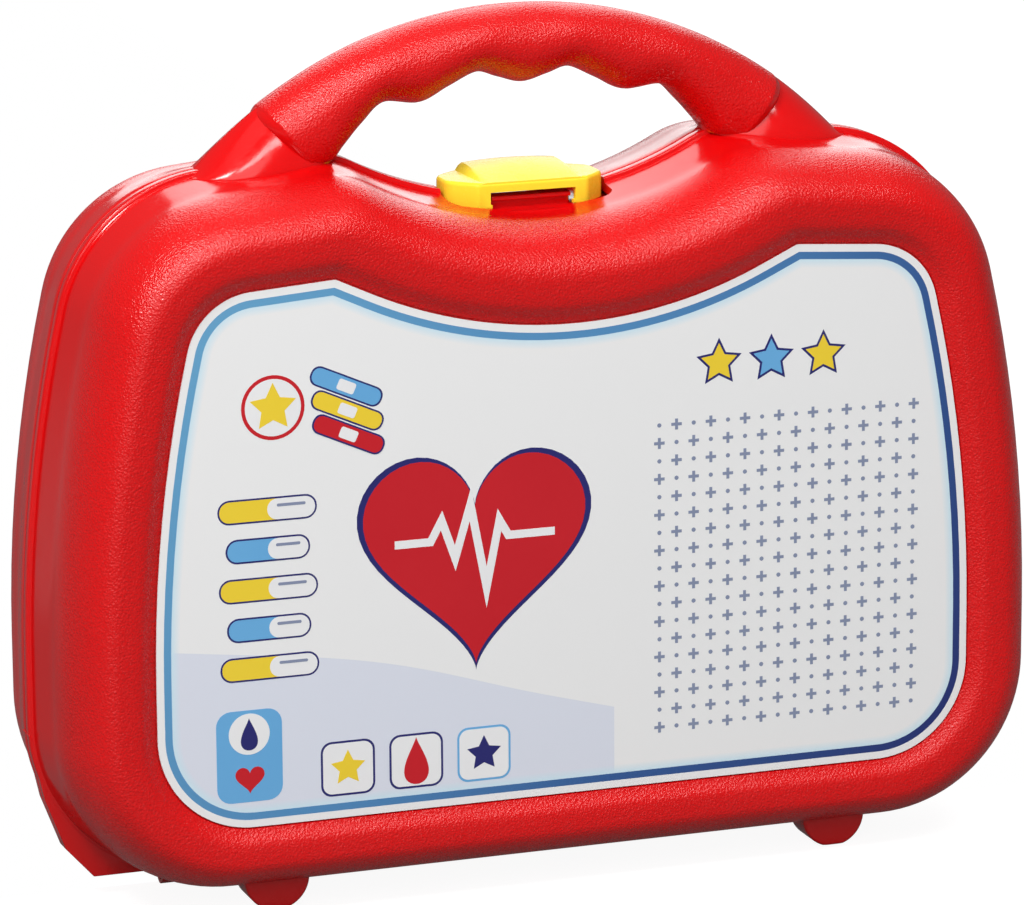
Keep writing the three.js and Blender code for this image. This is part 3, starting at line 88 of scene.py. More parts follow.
# Seam lip, drafted side wall, front roll and the step down to the label
LIP_PROUD = 1
LIP_PROFILE = [
    (HALF_GAP, 0.7), (0.24, 0.92), (0.45, 1), (2.5, 1), (2.8, 0.95), (3.05, 0.78), (3.2, 0.5),
    (3.26, 0.22), (3.45, 0.04), (3.8, 0),
]
DRAFT_SHARE = 0.08
DRAFT_DEPTH = 18
CREST_SHARE = 0.58
WALL_STEPS = 5
ROLL_STEPS = 26
GRAIN_STEPS = 9
STEP_PROFILE = [
    (0.08, 42.29), (0.2, 42.25), (0.34, 42.16), (0.46, 42.02), (0.55, 41.84), (0.62, 41.58),
    (0.68, 41.26), (0.76, 40.78), (0.84, 40.32), (0.9, 40.04), (0.94, 39.9), (0.97, 39.78),
    (0.988, 39.5), (1, 39.2),
]
LINER_PROFILE = [(0.4, 36.8), (0.18, 27.4), (0.08, 18), (0, HALF_GAP)]

# Wings that square the lower corners of the lip
WING_SHARES = [
    (1.008, 0.94), (0.978, 0.52), (0.94, 0.21), (0.885, 0.02), (0.777, 0.02),
    (0.777, 0.085), (0.86, 0.217), (0.93, 0.435), (0.977, 0.733), (0.99, 0.94),
]
WING_HEIGHT = 45
WING_EDGE = 0.35
LIP_WIDTH = 3.2

# Carrying handle
HANDLE_TOP = 234.3
HANDLE_RADIUS = 125
GRIP_DEPTH = 12.5
GRIP_REACH = 53.8
GRIP_FOOT = 196.4
GRIP_SHARES = [
    (0, 0.446), (0.12, 0.49), (0.245, 0.536), (0.4, 0.44), (0.541, 0.346),
    (0.734, 0.367), (0.85, 0.232), (0.95, 0.08), (1.01, -0.01), (1.115, -0.032),
]
GRIP_LEAN = 0.208
GRIP_FOOT_FULLNESS = 0.3
GRIP_DOMES = [(0.03, 0.24), (0.1, 0.5), (0.2, 0.72), (0.32, 0.87), (0.45, 0.96), (0.6, 1)]
GRIP_DOME = 3.6
GRIP_DOME_SINK = 0.2
GRIP_SIDES = 28
GRIP_RINGS = 132

# Webs that spread the handle's ends onto the shoulders
BRACKET_DEPTH = 13.4
BRACKET_MIDDLE = 74
BRACKET_INNER = 52
BRACKET_OUTER = 93.5
BRACKET_RISE = 0.95
BRACKET_SETBACK = 0.15
BRACKET_CURVE = 1.3
BRACKET_STEPS = 20
BRACKET_RINGS = 26

# Feet
FOOT_RADIUS = 9
FOOT_REACH = 80
FOOT_SEAT = 25
FOOT_THICKNESS = 11
FOOT_FLAT = 0.4
FOOT_STEPS = 28
FOOT_EDGE = 0.8

# Latch and its pocket
LATCH_WIDTH = 44.4
LATCH_FRONT = 11.6
LATCH_TAIL = 10.6
LATCH_BASE = 181.26
LATCH_TOP = 188.36
LATCH_WALL = 1.7
LATCH_EDGE = 1.1
LATCH_LOBE = 5
LATCH_LEG_EDGE = 15.5
LATCH_MOUTH_WIDTH = 24
LATCH_MOUTH_HEIGHT = 4.4
LATCH_PIN_REACH = 6.2
LATCH_PIN_HEIGHT = 185.36
LATCH_CROWN_WIDTH = 32.4
LATCH_CROWN_RISE = 2.9
LATCH_CROWN_STEPS = 36
LATCH_CROWN = [
    (-0.985, 0), (-0.9, 0.08), (-0.75, 0.24), (-0.55, 0.42), (-0.3, 0.62), (0, 0.82), (0.3, 0.94),
    (0.6, 1), (0.8, 0.99), (0.9, 0.93), (0.96, 0.78), (0.985, 0.5),
]
POCKET_FLOOR = 180.96
POCKET_MARGIN = 1
POCKET_HEIGHT = 7.1
POCKET_CORNER = 4
PAD_DROP = 2.5
PAD_SINK = 0.03
CATCH_WIDTH = 22.4
CATCH_BACK = -5
CATCH_FRONT = -8.6
CATCH_LEDGE_FRONT = -10.2
CATCH_TOP = 184.26
CATCH_LEDGE_LOW = 183.06
CATCH_EDGE = 0.35
LUG_REACH = 8.2
LUG_WIDTH = 2.2
LUG_BACK = 6.8
LUG_EDGE = 0.3
BOSS_RADIUS = 2.3

# Rim inside the seam of the base
RIM_ROOM = 0.2
RIM_SHEET = 0.8
RIM_ROOT = 2.8
RIM_REACH = 1.5

# Hinge: the reach of each row of knuckles, and the shares of it that the lid's knuckle takes
HINGE_HEIGHT = 3.6
KNUCKLE_RADIUS = 2.8
KNUCKLE_BORE = 1.6
KNUCKLE_GAP = 0.4
KNUCKLE_SIDES = 40
HINGES = [(66, 104, 0.27, 0.73), (15, 29, 0.5, 1)]


def lerp(low, high, share):
    return low + (high - low) * share


def smooth_step(share):
    return share * share * (3 - 2 * share)


def rounded_loop(corners, inset=0):
    """Rounds the corners of a closed outline and moves its edges inwards by an inset."""
    count = len(corners)
    spots = [Vector((x, z)) for x, z, _, _ in corners]
    ways = [(spots[(i + 1) % count] - spots[i]).normalized() for i in range(count)]
    places = []
    for i, (_, _, radius, steps) in enumerate(corners):
        before, after = ways[i - 1], ways[i]
        shift = Vector((-before.y - after.y, before.x + after.x)) * inset / (1 + before.dot(after))
        turn = atan2(before.x * after.y - before.y * after.x, before.dot(after))
        own = max(radius - (inset if turn > 0 else -inset), SHARP_CORNER)
        places.append((spots[i] + shift, before, turn, own * tan(abs(turn) / 2), steps))
    fits = []
    for i, place in enumerate(places):
        after = places[(i + 1) % count]
        room = (after[0] - place[0]).length
        fits.append(min(1, room / max(place[3] + after[3], room * MM)))
    points = []
    for i, (spot, before, turn, tangent, steps) in enumerate(places):
        reach = tangent * min(fits[i], fits[i - 1])
        radius = reach / tan(turn / 2)
        centre = spot - before * reach + Vector((-before.y, before.x)) * radius
        spoke = Vector((before.y, -before.x)) * radius
        for step in range(steps + 1):
            points.append(centre + Matrix.Rotation(turn * step / steps, 2) @ spoke)
    return points


def rounded_box(x, z, width, height, radius, turn=0, steps=6):
    corners = [
        (width / 2, -height / 2, radius, steps), (width / 2, height / 2, radius, steps),
        (-width / 2, height / 2, radius, steps), (-width / 2, -height / 2, radius, steps),
    ]
    spin = Matrix.Rotation(radians(turn), 2)
    return [Vector((x, z)) + spin @ point for point in rounded_loop(corners)]


def mirrored(side, middle=()):
    left = [(-x, z, radius, steps) for x, z, radius, steps in side]
    return [*side, *middle, *reversed(left)]


SEAM = mirrored(SEAM_SIDE, [SEAM_DIP])
LABEL = mirrored(LABEL_SIDE, [LABEL_DIP])


def shell_ring(share, depth, inset=0):
    """A ring round the case: share 0 follows the seam outline and share 1 the label's."""
    corners = [
        (lerp(a[0], b[0], share), lerp(a[1], b[1], share), lerp(a[2], b[2], share), a[3])
        for a, b in zip(SEAM, LABEL)
    ]
    return [Vector((point.x, -depth, point.y)) for point in rounded_loop(corners, inset)]


def draft_at(depth):
    return DRAFT_SHARE * min(depth, DRAFT_DEPTH) / DRAFT_DEPTH


def loft(mesh, rings, marks=None):
    """Draws the first ring, extrudes it from ring to ring and fills both ends.

    marks gives each ring a value of the float attribute "mark" on its points.
    """
    layer = mesh.verts.layers.float.get("mark") or mesh.verts.layers.float.new("mark")
    marks = marks or [0] * len(rings)
    ring = [mesh.verts.new(point) for point in rings[0]]
    for vert in ring:
        vert[layer] = marks[0]
    edges = [mesh.edges.new((ring[i - 1], ring[i])) for i in range(len(ring))]
    made_faces = []
    ends = [bmesh.ops.contextual_create(mesh, geom=edges)["faces"]]
    for points, mark in zip(rings[1:], marks[1:]):
        made = bmesh.ops.extrude_edge_only(mesh, edges=edges)["geom"]
        fresh = {part for part in made if isinstance(part, bmesh.types.BMVert)}
        made_faces += [part for part in made if isinstance(part, bmesh.types.BMFace)]
        ring = [next(e.other_vert(v) for e in v.link_edges if e.other_vert(v) in fresh) for v in ring]
        for vert, point in zip(ring, points):
            vert.co = point
            vert[layer] = mark
        edges = [mesh.edges.get((ring[i - 1], ring[i])) for i in range(len(ring))]
    ends.append(bmesh.ops.contextual_create(mesh, geom=edges)["faces"])
    bmesh.ops.recalc_face_normals(mesh, faces=[*made_faces, *ends[0], *ends[1]])


def drawn(draw, *given, **settings):
    """A new mesh with one thing drawn into it."""
    mesh = bmesh.new()
    draw(mesh, *given, **settings)
    return mesh


def slab(mesh, outline, near, far):
    """A plate with an outline of (x, z) points between two depths."""
    loft(mesh, [[Vector((x, y, z)) for x, z in outline] for y in (near, far)])


def upright(mesh, outline, low, high):
    """A plate with an outline of (x, y) points between two heights."""
    loft(mesh, [[Vector((x, y, z)) for x, y in outline] for z in (low, high)])


def finished(name, mesh, material, body, smooth=32):
    """Makes an object of a mesh drawn in millimetres, smooth but for its sharp edges."""
    bmesh.ops.scale(mesh, vec=(MM, MM, MM), verts=mesh.verts)
    for face in mesh.faces:
        face.smooth = True
    for edge in mesh.edges:
        edge.smooth = len(edge.link_faces) == 2 and edge.calc_face_angle() < radians(smooth)
    data = bpy.data.meshes.new(name)
    mesh.to_mesh(data)
    mesh.free()
    data.materials.append(material)
    piece = bpy.data.objects.new(name, data)
    bpy.context.scene.collection.objects.link(piece)
    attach(piece, body)
    return piece


def beveled(piece, width, segments=3, angle=30):
    """Rounds the sharp edges of a finished piece by a width in millimetres."""
    rounding = piece.modifiers.new("rounded edges", "BEVEL")
    rounding.width = width * MM
    rounding.segments = segments
    rounding.limit_method = "ANGLE"
    rounding.angle_limit = radians(angle)
    rounding.harden_normals = True
    return piece


def carved(mesh, *cutters, into=None, added=()):
    """A mesh with others joined to it and then others cut out of it, all in millimetres."""
    def temporary(source):
        data = bpy.data.meshes.new("carving")
        source.to_mesh(data)
        source.free()
        made = bpy.data.objects.new("carving", data)
        bpy.context.scene.collection.objects.link(made)
        return made

    body = temporary(mesh)
    tools = []
    for operation, sources in (("UNION", added), ("DIFFERENCE", cutters)):
        for source in sources:
            tools.append(temporary(source))
            change = body.modifiers.new("change", "BOOLEAN")
            change.operation = operation
            change.solver = "EXACT"
            change.object = tools[-1]
    result = bmesh.new() if into is None else into
    bpy.context.view_layer.update()
    result.from_object(body, bpy.context.evaluated_depsgraph_get())
    for used in [body, *tools]:
        data = used.data
        bpy.data.objects.remove(used)
        bpy.data.meshes.remove(data)
    return result


def box_mesh(low, high):
    mesh = bmesh.new()
    bmesh.ops.create_cube(mesh, size=1)
    size = [b - a for a, b in zip(low, high)]
    middle = [(a + b) / 2 for a, b in zip(low, high)]
    bmesh.ops.scale(mesh, vec=size, verts=mesh.verts)
    bmesh.ops.translate(mesh, vec=middle, verts=mesh.verts)
    return mesh


def rod(mesh, start, end, radius, sides=32):
    """A round rod between two points."""
    start, end = Vector(start), Vector(end)
    way = end - start
    made = bmesh.ops.create_cone(
        mesh, cap_ends=True, segments=sides, radius1=radius, radius2=radius, depth=way.length)["verts"]
    bmesh.ops.rotate(mesh, matrix=way.to_track_quat("Z", "Y").to_matrix(), verts=made)
    bmesh.ops.translate(mesh, vec=(start + end) / 2, verts=made)


def turned_round(mesh):
    """Turns a mesh of the label's half into one of the lid's."""
    bmesh.ops.rotate(mesh, cent=(0, 0, 0), matrix=Matrix.Rotation(pi, 3, "Z"), verts=mesh.verts)


# Materials

WAVE_SCALE = 26
WAVE_HEIGHT = 0.35
SCUFF_SCALE = 210
SCUFF_START = 0.45
SCUFF_END = 0.8
SCUFF_ROUGHNESS = 0.14
RELIEF_DEPTH = 0.0004


def feed(tree, target, value):
    """Links a socket to an input, or sets the input to a plain value."""
    if isinstance(value, bpy.types.NodeSocket):
        tree.links.new(value, target)
    else:
        target.default_value = value


def node(tree, kind, **settings):
    """A new node. A setting names an input, fed by a value or a socket, or else a property."""
    made = tree.nodes.new(kind)
    for key, value in settings.items():
        if key in made.inputs:
            feed(tree, made.inputs[key], value)
        else:
            setattr(made, key, value)
    return made


def maths(tree, operation, *values, **settings):
    made = node(tree, "ShaderNodeMath", operation=operation, **settings)
    for target, value in zip(made.inputs, values):
        feed(tree, target, value)
    return made.outputs[0]


def mixed(tree, factor, first, second, kind="RGBA"):
    """Two colours, or two values, mixed by a factor."""
    made = node(tree, "ShaderNodeMix", data_type=kind, Factor=factor, A=first, B=second)
    return made.outputs["Result"]


def ranged(tree, value, start, end, low=0, high=1):
    """A value brought from one range to another and held inside it."""
    made = node(tree, "ShaderNodeMapRange", Value=value, **{
        "From Min": start, "From Max": end, "To Min": low, "To Max": high})
    return made.outputs["Result"]


def new_material(name):
    material = bpy.data.materials.new(name)
    material.use_nodes = True
    return material, material.node_tree, material.node_tree.nodes["Principled BSDF"]


def moulded_surface_group():
    """Fine pebbles, slow waves and faint scuffs of a moulded plastic surface."""
    group = bpy.data.node_groups.new("moulded surface", "ShaderNodeTree")
    for name, kind, way, value in (
            ("Position", "Vector", "INPUT", None),
            ("Colour", "Color", "INPUT", None),
            ("Shade", "Color", "INPUT", None),
            ("Smooth", "Float", "INPUT", 0.2),
            ("Rough", "Float", "INPUT", 0.4),
            ("Pebble Scale", "Float", "INPUT", 1600),
            ("Grain", "Float", "INPUT", 0),
            ("Colour", "Color", "OUTPUT", None),
            ("Roughness", "Float", "OUTPUT", None),
            ("Height", "Float", "OUTPUT", None)):
        made = group.interface.new_socket(name=name, in_out=way, socket_type=f"NodeSocket{kind}")
        if value is not None:
            made.default_value = value
    given = node(group, "NodeGroupInput").outputs
    place, pebble_scale, grain = given["Position"], given["Pebble Scale"], given["Grain"]
    pebbles = node(
        group, "ShaderNodeTexVoronoi", feature="SMOOTH_F1", Smoothness=0.6, Vector=place,
        Scale=pebble_scale)
    grit = node(group, "ShaderNodeTexNoise", Detail=3, Roughness=0.6, Vector=place, Scale=pebble_scale)
    waves = node(group, "ShaderNodeTexNoise", Scale=WAVE_SCALE, Detail=2, Roughness=0.5, Vector=place)
    scuffs = node(
        group, "ShaderNodeTexNoise", Scale=SCUFF_SCALE, Detail=6, Roughness=0.75, Distortion=0.8,
        Vector=place)
    relief = maths(group, "ADD", pebbles.outputs["Distance"], grit.outputs["Fac"])
    relief = maths(group, "MULTIPLY", relief, grain)
    swell = maths(group, "MULTIPLY", waves.outputs["Fac"], WAVE_HEIGHT)
    level = mixed(group, grain, given["Smooth"], given["Rough"], "FLOAT")
    wear = ranged(group, scuffs.outputs["Fac"], SCUFF_START, SCUFF_END, 0, SCUFF_ROUGHNESS)
    node(
        group, "NodeGroupOutput",
        Colour=mixed(group, waves.outputs["Fac"], given["Colour"], given["Shade"]),
        Roughness=maths(group, "ADD", level, wear, use_clamp=True),
        Height=maths(group, "ADD", relief, swell))
    return group


MOULDED = moulded_surface_group()


def from_srgb(red, green, blue):
    """A colour given in display levels of 0 to 255, as the linear values a shader takes."""
    def linear(level):
        share = level / 255
        return share / 12.92 if share <= 0.04045 else ((share + 0.055) / 1.055) ** 2.4
    return (linear(red), linear(green), linear(blue), 1)


def plastic(name, colour, shade, smooth=0.22, rough=0.42, pebble=1500, grain=0, bump=0.05, specular=0.4):
    """Moulded plastic. grain is a constant share, or the name of an attribute that masks it."""
    material, tree, shader = new_material(name)
    if isinstance(grain, str):
        grain = node(tree, "ShaderNodeAttribute", attribute_name=grain).outputs["Fac"]
    surface = node(tree, "ShaderNodeGroup", node_tree=MOULDED, **{
        "Position": node(tree, "ShaderNodeTexCoord").outputs["Object"],
        "Colour": from_srgb(*colour),
        "Shade": from_srgb(*shade),
        "Smooth": smooth,
        "Rough": rough,
        "Pebble Scale": pebble,
        "Grain": grain,
    }).outputs
    relief = node(tree, "ShaderNodeBump", Strength=bump, Distance=RELIEF_DEPTH, Height=surface["Height"])
    shader.inputs["Specular IOR Level"].default_value = specular
    tree.links.new(surface["Colour"], shader.inputs["Base Color"])
    tree.links.new(surface["Roughness"], shader.inputs["Roughness"])
    tree.links.new(relief.outputs["Normal"], shader.inputs["Normal"])
    return material


RED = plastic(
    "red case plastic", (221, 9, 12), (211, 6, 9),
    smooth=0.13, rough=0.23, pebble=1700, grain="mark", bump=0.45, specular=0.5)
RED_TOY = plastic(
    "red toy plastic", (206, 8, 13), (196, 6, 11),
    smooth=0.22, rough=0.4, pebble=2300, grain=0.1, bump=0.2, specular=0.3)
YELLOW = plastic(
    "yellow latch plastic", (254, 234, 62), (252, 228, 52),
    smooth=0.24, rough=0.36, pebble=2300, grain=0.05, bump=0.2, specular=0.2)
WHITE = plastic(
    "white toy plastic", (238, 238, 236), (230, 231, 230), smooth=0.26, rough=0.4, grain=0.1, bump=0.25)
WHITE_TRAY = plastic(
    "white tray sheet", (236, 237, 238), (228, 230, 232),
    smooth=0.34, rough=0.5, pebble=1300, grain=0.25, bump=0.3)
GREY = plastic(
    "grey toy plastic", (176, 180, 184), (166, 170, 175), smooth=0.22, rough=0.36, grain=0.1, bump=0.25)
DARK_GREY = plastic(
    "dark grey plastic", (70, 72, 76), (60, 62, 66), smooth=0.28, rough=0.4, grain=0.1, bump=0.25)
BLUE = plastic(
    "blue hose vinyl", (38, 40, 150), (30, 32, 134), smooth=0.24, rough=0.4, grain=0.1, bump=0.25)
GREEN = plastic(
    "green toy plastic", (176, 200, 60), (160, 186, 50), smooth=0.2, rough=0.36, grain=0.05, bump=0.25)
CLEAR = plastic(
    "clear toy plastic", (238, 242, 245), (230, 236, 240), smooth=0.12, rough=0.2, grain=0.05, bump=0.15)
CLEAR.node_tree.nodes["Principled BSDF"].inputs["Transmission Weight"].default_value = 0.7


# Camera

def place_camera():
    turn, tilt, roll = radians(CAMERA_TURN), radians(CAMERA_TILT), radians(CAMERA_ROLL)
    ahead = Vector((sin(turn) * cos(tilt), cos(turn) * cos(tilt), -sin(tilt)))
    right = Vector((cos(turn), -sin(turn), 0))
    up = right.cross(ahead)
    across = right * cos(roll) + up * sin(roll)
    above = up * cos(roll) - right * sin(roll)
    data = bpy.data.cameras.new("camera")
    data.lens = CAMERA_LENS
    data.sensor_width = CAMERA_SENSOR
    data.clip_end = CAMERA_FAR * MM
    camera = bpy.data.objects.new("camera", data)
    rotation = Matrix((across, above, -ahead)).transposed()
    camera.matrix_world = Matrix.Translation(Vector(CAMERA_PLACE) * MM) @ rotation.to_4x4()
    bpy.context.scene.collection.objects.link(camera)
    bpy.context.scene.camera = camera


place_camera()


# Case halves

def skin(mesh):
    """One half shell: liner side, seam lip, side wall, front roll and label recess."""
    rings = [shell_ring(share, depth, WALL) for share, depth in LINER_PROFILE]
    marks = [0] * len(rings)
    for depth, proud in LIP_PROFILE:
        rings.append(shell_ring(draft_at(depth) if proud < LIP_PROUD / 4 else 0, depth, -proud))
        marks.append(0)
    for step in range(1, WALL_STEPS + 1):
        depth = lerp(LIP_PROFILE[-1][0], DRAFT_DEPTH, step / WALL_STEPS)
        rings.append(shell_ring(draft_at(depth), depth))
        marks.append(0)
    for step in range(1, ROLL_STEPS + 1):
        angle = pi / 2 * step / ROLL_STEPS
        share = lerp(DRAFT_SHARE, CREST_SHARE, 1 - cos(angle))
        rings.append(shell_ring(share, lerp(DRAFT_DEPTH, SHELL_DEPTH, sin(angle))))
        marks.append(smooth_step(min(1, step / GRAIN_STEPS)))
    for share, depth in STEP_PROFILE:
        rings.append(shell_ring(lerp(CREST_SHARE, 1, share), depth))
        marks.append(1)
    loft(mesh, rings, marks)


def arc_height(x):
    return HANDLE_TOP - HANDLE_RADIUS + sqrt(HANDLE_RADIUS ** 2 - x ** 2)


def cubic(b, c, v0, v1, step):
    """A point between b and c on the curve that leaves b at v0 and reaches c at v1."""
    twist = 2 * b - 2 * c + v0 + v1
    bend = 3 * c - 3 * b - 2 * v0 - v1
    return twist * step ** 3 + bend * step ** 2 + v0 * step + b


def spline(points, share):
    """A point on the smooth curve through points, at a share of its way."""
    place = (len(points) - 1) * share
    start = min(int(place), len(points) - 2)
    a, b = points[max(start - 1, 0)], points[start]
    c, d = points[start + 1], points[min(start + 2, len(points) - 1)]
    return cubic(b, c, (c - a) / 2, (d - b) / 2, place - start)


def grip(mesh):
    """Half of the round handle bar, with finger waves under it and domed ends."""
    rise = HANDLE_TOP - GRIP_FOOT
    right = [Vector((x * GRIP_REACH, GRIP_FOOT + z * rise)) for x, z in GRIP_SHARES]
    left = [Vector((-point.x, point.y)) for point in reversed(right[1:])]
    underside = [*left, *right]
    end = right[-1].x
    rings = []
    for step in range(GRIP_RINGS + 1):
        low = spline(underside, step / GRIP_RINGS)
        top_x = low.x * (1 + GRIP_LEAN * (low.x / end) ** 2)
        high = Vector((top_x, arc_height(top_x)))
        fullness = lerp(1, GRIP_FOOT_FULLNESS, (low.x / end) ** 4)
        ring = []
        for side in range(GRIP_SIDES + 1):
            angle = pi * side / GRIP_SIDES
            along = high.lerp(low, (1 - cos(angle)) / 2)
            power = fullness if side > GRIP_SIDES / 2 else 1
            out = 0 if side == GRIP_SIDES else GRIP_DEPTH * sin(angle) ** power
            ring.append(Vector((along.x, -GRIP_FACE - out, along.y)))
        rings.append(ring)

    def dome(ring, side):
        high, low = ring[0].lerp(ring[-1], GRIP_DOME_SINK), ring[-1]
        away = Vector((high.z - low.z, 0, low.x - high.x)).normalized()
        away *= side * (1 if away.x > 0 else -1)
        made = []
        for shrink, advance in GRIP_DOMES:
            made.append([
                Vector((
                    lerp(point.x, high.x, shrink) + away.x * advance * GRIP_DOME,
                    lerp(point.y, -GRIP_FACE, shrink),
                    lerp(point.z, high.z, shrink) + away.z * advance * GRIP_DOME,
                ))
                for point in ring
            ])
        return made

    domes = [dome(rings[0], -1), dome(rings[-1], 1)]
    marks = [0] * len(GRIP_DOMES) + [1] * len(rings) + [0] * len(GRIP_DOMES)
    loft(mesh, [*reversed(domes[0]), *rings, *domes[1]], marks)


def bracket(mesh, side):
    """The web that spreads one end of the handle onto the shoulder."""
    shoulder, ear = SEAM[2], SEAM[3]
    draft = DRAFT_SHARE * (shoulder[1] - LABEL[2][1]) / DRAFT_DEPTH
    rings = []
    for step in range(1, BRACKET_RINGS + 1):
        turn = pi * step / (BRACKET_RINGS + 1)
        reach = BRACKET_MIDDLE - BRACKET_INNER if turn < pi / 2 else BRACKET_OUTER - BRACKET_MIDDLE
        x = BRACKET_MIDDLE - reach * cos(turn)
        width = BRACKET_DEPTH * sin(turn)
        foot = lerp(ear[1], shoulder[1], (x - ear[0]) / (shoulder[0] - ear[0]))
        climb = (x - BRACKET_INNER) * BRACKET_RISE
        height = max(min(arc_height(x) - BRACKET_SETBACK - foot, climb), BRACKET_SETBACK)
        ring = []
        for bend in range(BRACKET_STEPS + 1):
            angle = pi / 2 * bend / BRACKET_STEPS
            out = width * sin(angle) ** BRACKET_CURVE
            up = height * cos(angle) ** BRACKET_CURVE if bend < BRACKET_STEPS else 0
            ring.append(Vector((side * x, -SEAM_FACE - out, foot + up - draft * out)))
        root = foot - WALL / 2
        ring.append(Vector((side * x, -SEAM_FACE - width, root - draft * width)))
        ring.append(Vector((side * x, -SEAM_FACE, root)))
        rings.append(ring)
    loft(mesh, rings)


def wing(mesh, side):
    outline = [(side * x * HALF_WIDTH, SHELL_BOTTOM + z * WING_HEIGHT) for x, z in WING_SHARES]
    slab(mesh, outline, -SEAM_FACE, -LIP_WIDTH)


def foot(mesh, side):
    middle = FOOT_RADIUS - FOOT_FLAT
    outline = []
    for step in range(FOOT_STEPS + 1):
        angle = pi * step / FOOT_STEPS
        drop = min(FOOT_RADIUS * sin(angle), middle)
        outline.append((side * FOOT_REACH - FOOT_RADIUS * cos(angle), middle - drop))
    slab(mesh, outline, -(FOOT_SEAT - FOOT_THICKNESS / 2), -(FOOT_SEAT + FOOT_THICKNESS / 2))


def knuckle_spans(of_lid):
    spans = []
    for start, end, low, high in HINGES:
        first, last = lerp(start, end, low), lerp(start, end, high)
        if of_lid:
            spans.append((first + KNUCKLE_GAP / 2, last - (KNUCKLE_GAP / 2 if last < end else 0)))
            continue
        spans.append((start, first - KNUCKLE_GAP / 2))
        if last < end:
            spans.append((last + KNUCKLE_GAP / 2, end))
    return [(side * low, side * high) for low, high in spans for side in (-1, 1)]


def hinge_rods(mesh, of_lid, radius, spare=0):
    for low, high in knuckle_spans(of_lid):
        reach = spare if high > low else -spare
        ends = (low - reach, 0, HINGE_HEIGHT), (high + reach, 0, HINGE_HEIGHT)
        rod(mesh, *ends, radius, KNUCKLE_SIDES)


def knuckles(mesh, of_lid):
    bores = drawn(hinge_rods, of_lid, KNUCKLE_BORE, OVERRUN)
    carved(drawn(hinge_rods, of_lid, KNUCKLE_RADIUS), bores, into=mesh)


def shell_moulding(mesh, of_lid):
    """The skin with the latch pocket and the room for the other half's knuckles cut out."""
    width = LATCH_WIDTH + 2 * POCKET_MARGIN
    depth = 2 * (LATCH_FRONT + POCKET_MARGIN)
    outline = rounded_box(0, 0, width, depth, POCKET_CORNER)
    pocket = drawn(upright, outline, POCKET_FLOOR, POCKET_FLOOR + POCKET_HEIGHT)
    rooms = drawn(hinge_rods, not of_lid, KNUCKLE_RADIUS + CLEARANCE, KNUCKLE_GAP)
    carved(drawn(skin), pocket, rooms, into=mesh)


def latch_pad(mesh):
    """The thick place in the shell under the latch."""
    reach = LATCH_WIDTH / 2 + POCKET_MARGIN + WALL
    front = LATCH_FRONT + POCKET_MARGIN + WALL
    low = (-reach, -front, POCKET_FLOOR - PAD_DROP)
    high = (reach, -SEAM_FACE, POCKET_FLOOR - PAD_SINK)
    carved(box_mesh(low, high), into=mesh)


def seam_rim(mesh):
    """The thin rim inside the base's wall that closes the sight through the seam."""
    whole = drawn(slab, rounded_loop(SEAM, WALL + RIM_ROOM), -RIM_ROOT, RIM_REACH)
    inside = rounded_loop(SEAM, WALL + RIM_ROOM + RIM_SHEET)
    middle = drawn(slab, inside, -RIM_ROOT - OVERRUN, RIM_REACH + OVERRUN)
    pad = LATCH_WIDTH / 2 + POCKET_MARGIN + WALL + RIM_SHEET
    pad_gap = box_mesh((-pad, -SHELL_DEPTH, SHOULDER_HEIGHT / 2), (pad, SHELL_DEPTH, SHOULDER_HEIGHT))
    carved(whole, middle, pad_gap, into=mesh)


def catch(mesh):
    """The block in front of the latch pin that the latch's legs snap over."""
    half = CATCH_WIDTH / 2
    tall = box_mesh((-half, CATCH_FRONT, POCKET_FLOOR - OVERRUN), (half, CATCH_BACK, CATCH_TOP))
    ledge = box_mesh((-half, CATCH_LEDGE_FRONT, CATCH_LEDGE_LOW), (half, CATCH_BACK, CATCH_TOP))
    carved(tall, into=mesh, added=[ledge])


def latch_lugs(mesh):
    """Two lugs that carry the latch pin."""
    for side in (-1, 1):
        near, far = side * LUG_REACH, side * (LUG_REACH + LUG_WIDTH)
        axis = (LATCH_PIN_REACH, LATCH_PIN_HEIGHT)
        boss = drawn(rod, (near, *axis), (far, *axis), BOSS_RADIUS)
        foot = box_mesh(
            (min(near, far), LATCH_PIN_REACH - BOSS_RADIUS, POCKET_FLOOR - OVERRUN),
            (max(near, far), LUG_BACK, LATCH_PIN_HEIGHT))
        carved(boss, into=mesh, added=[foot])


def half_pieces(half):
    """All mouldings of one half. The skin stands for the CAD shell."""
    of_lid = half == "lid"

    def add(name, draw, *given, edge=0):
        mesh = drawn(draw, *given)
        if of_lid and draw is not latch_lugs:
            turned_round(mesh)
        piece = finished(f"{half}_{name}", mesh, RED, half)
        return beveled(piece, edge) if edge else piece

    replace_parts(add("skin", shell_moulding, of_lid), f"{half}_shell")
    add("grip", grip)
    add("knuckles", knuckles, of_lid)
    add("latch_pad", latch_pad)
    if of_lid:
        add("latch_lugs", latch_lugs, edge=LUG_EDGE)
    else:
        add("latch_catch", catch, edge=CATCH_EDGE)
        add("seam_rim", seam_rim)
    for side, word in ((-1, "left"), (1, "right")):
        add(f"bracket_{word}", bracket, side)
        add(f"wing_{word}", wing, side, edge=WING_EDGE)
        add(f"foot_{word}", foot, side, edge=FOOT_EDGE)


half_pieces("base")
half_pieces("lid")


# Label: bands are millimetres inwards from its edge, and the pattern's places are metres

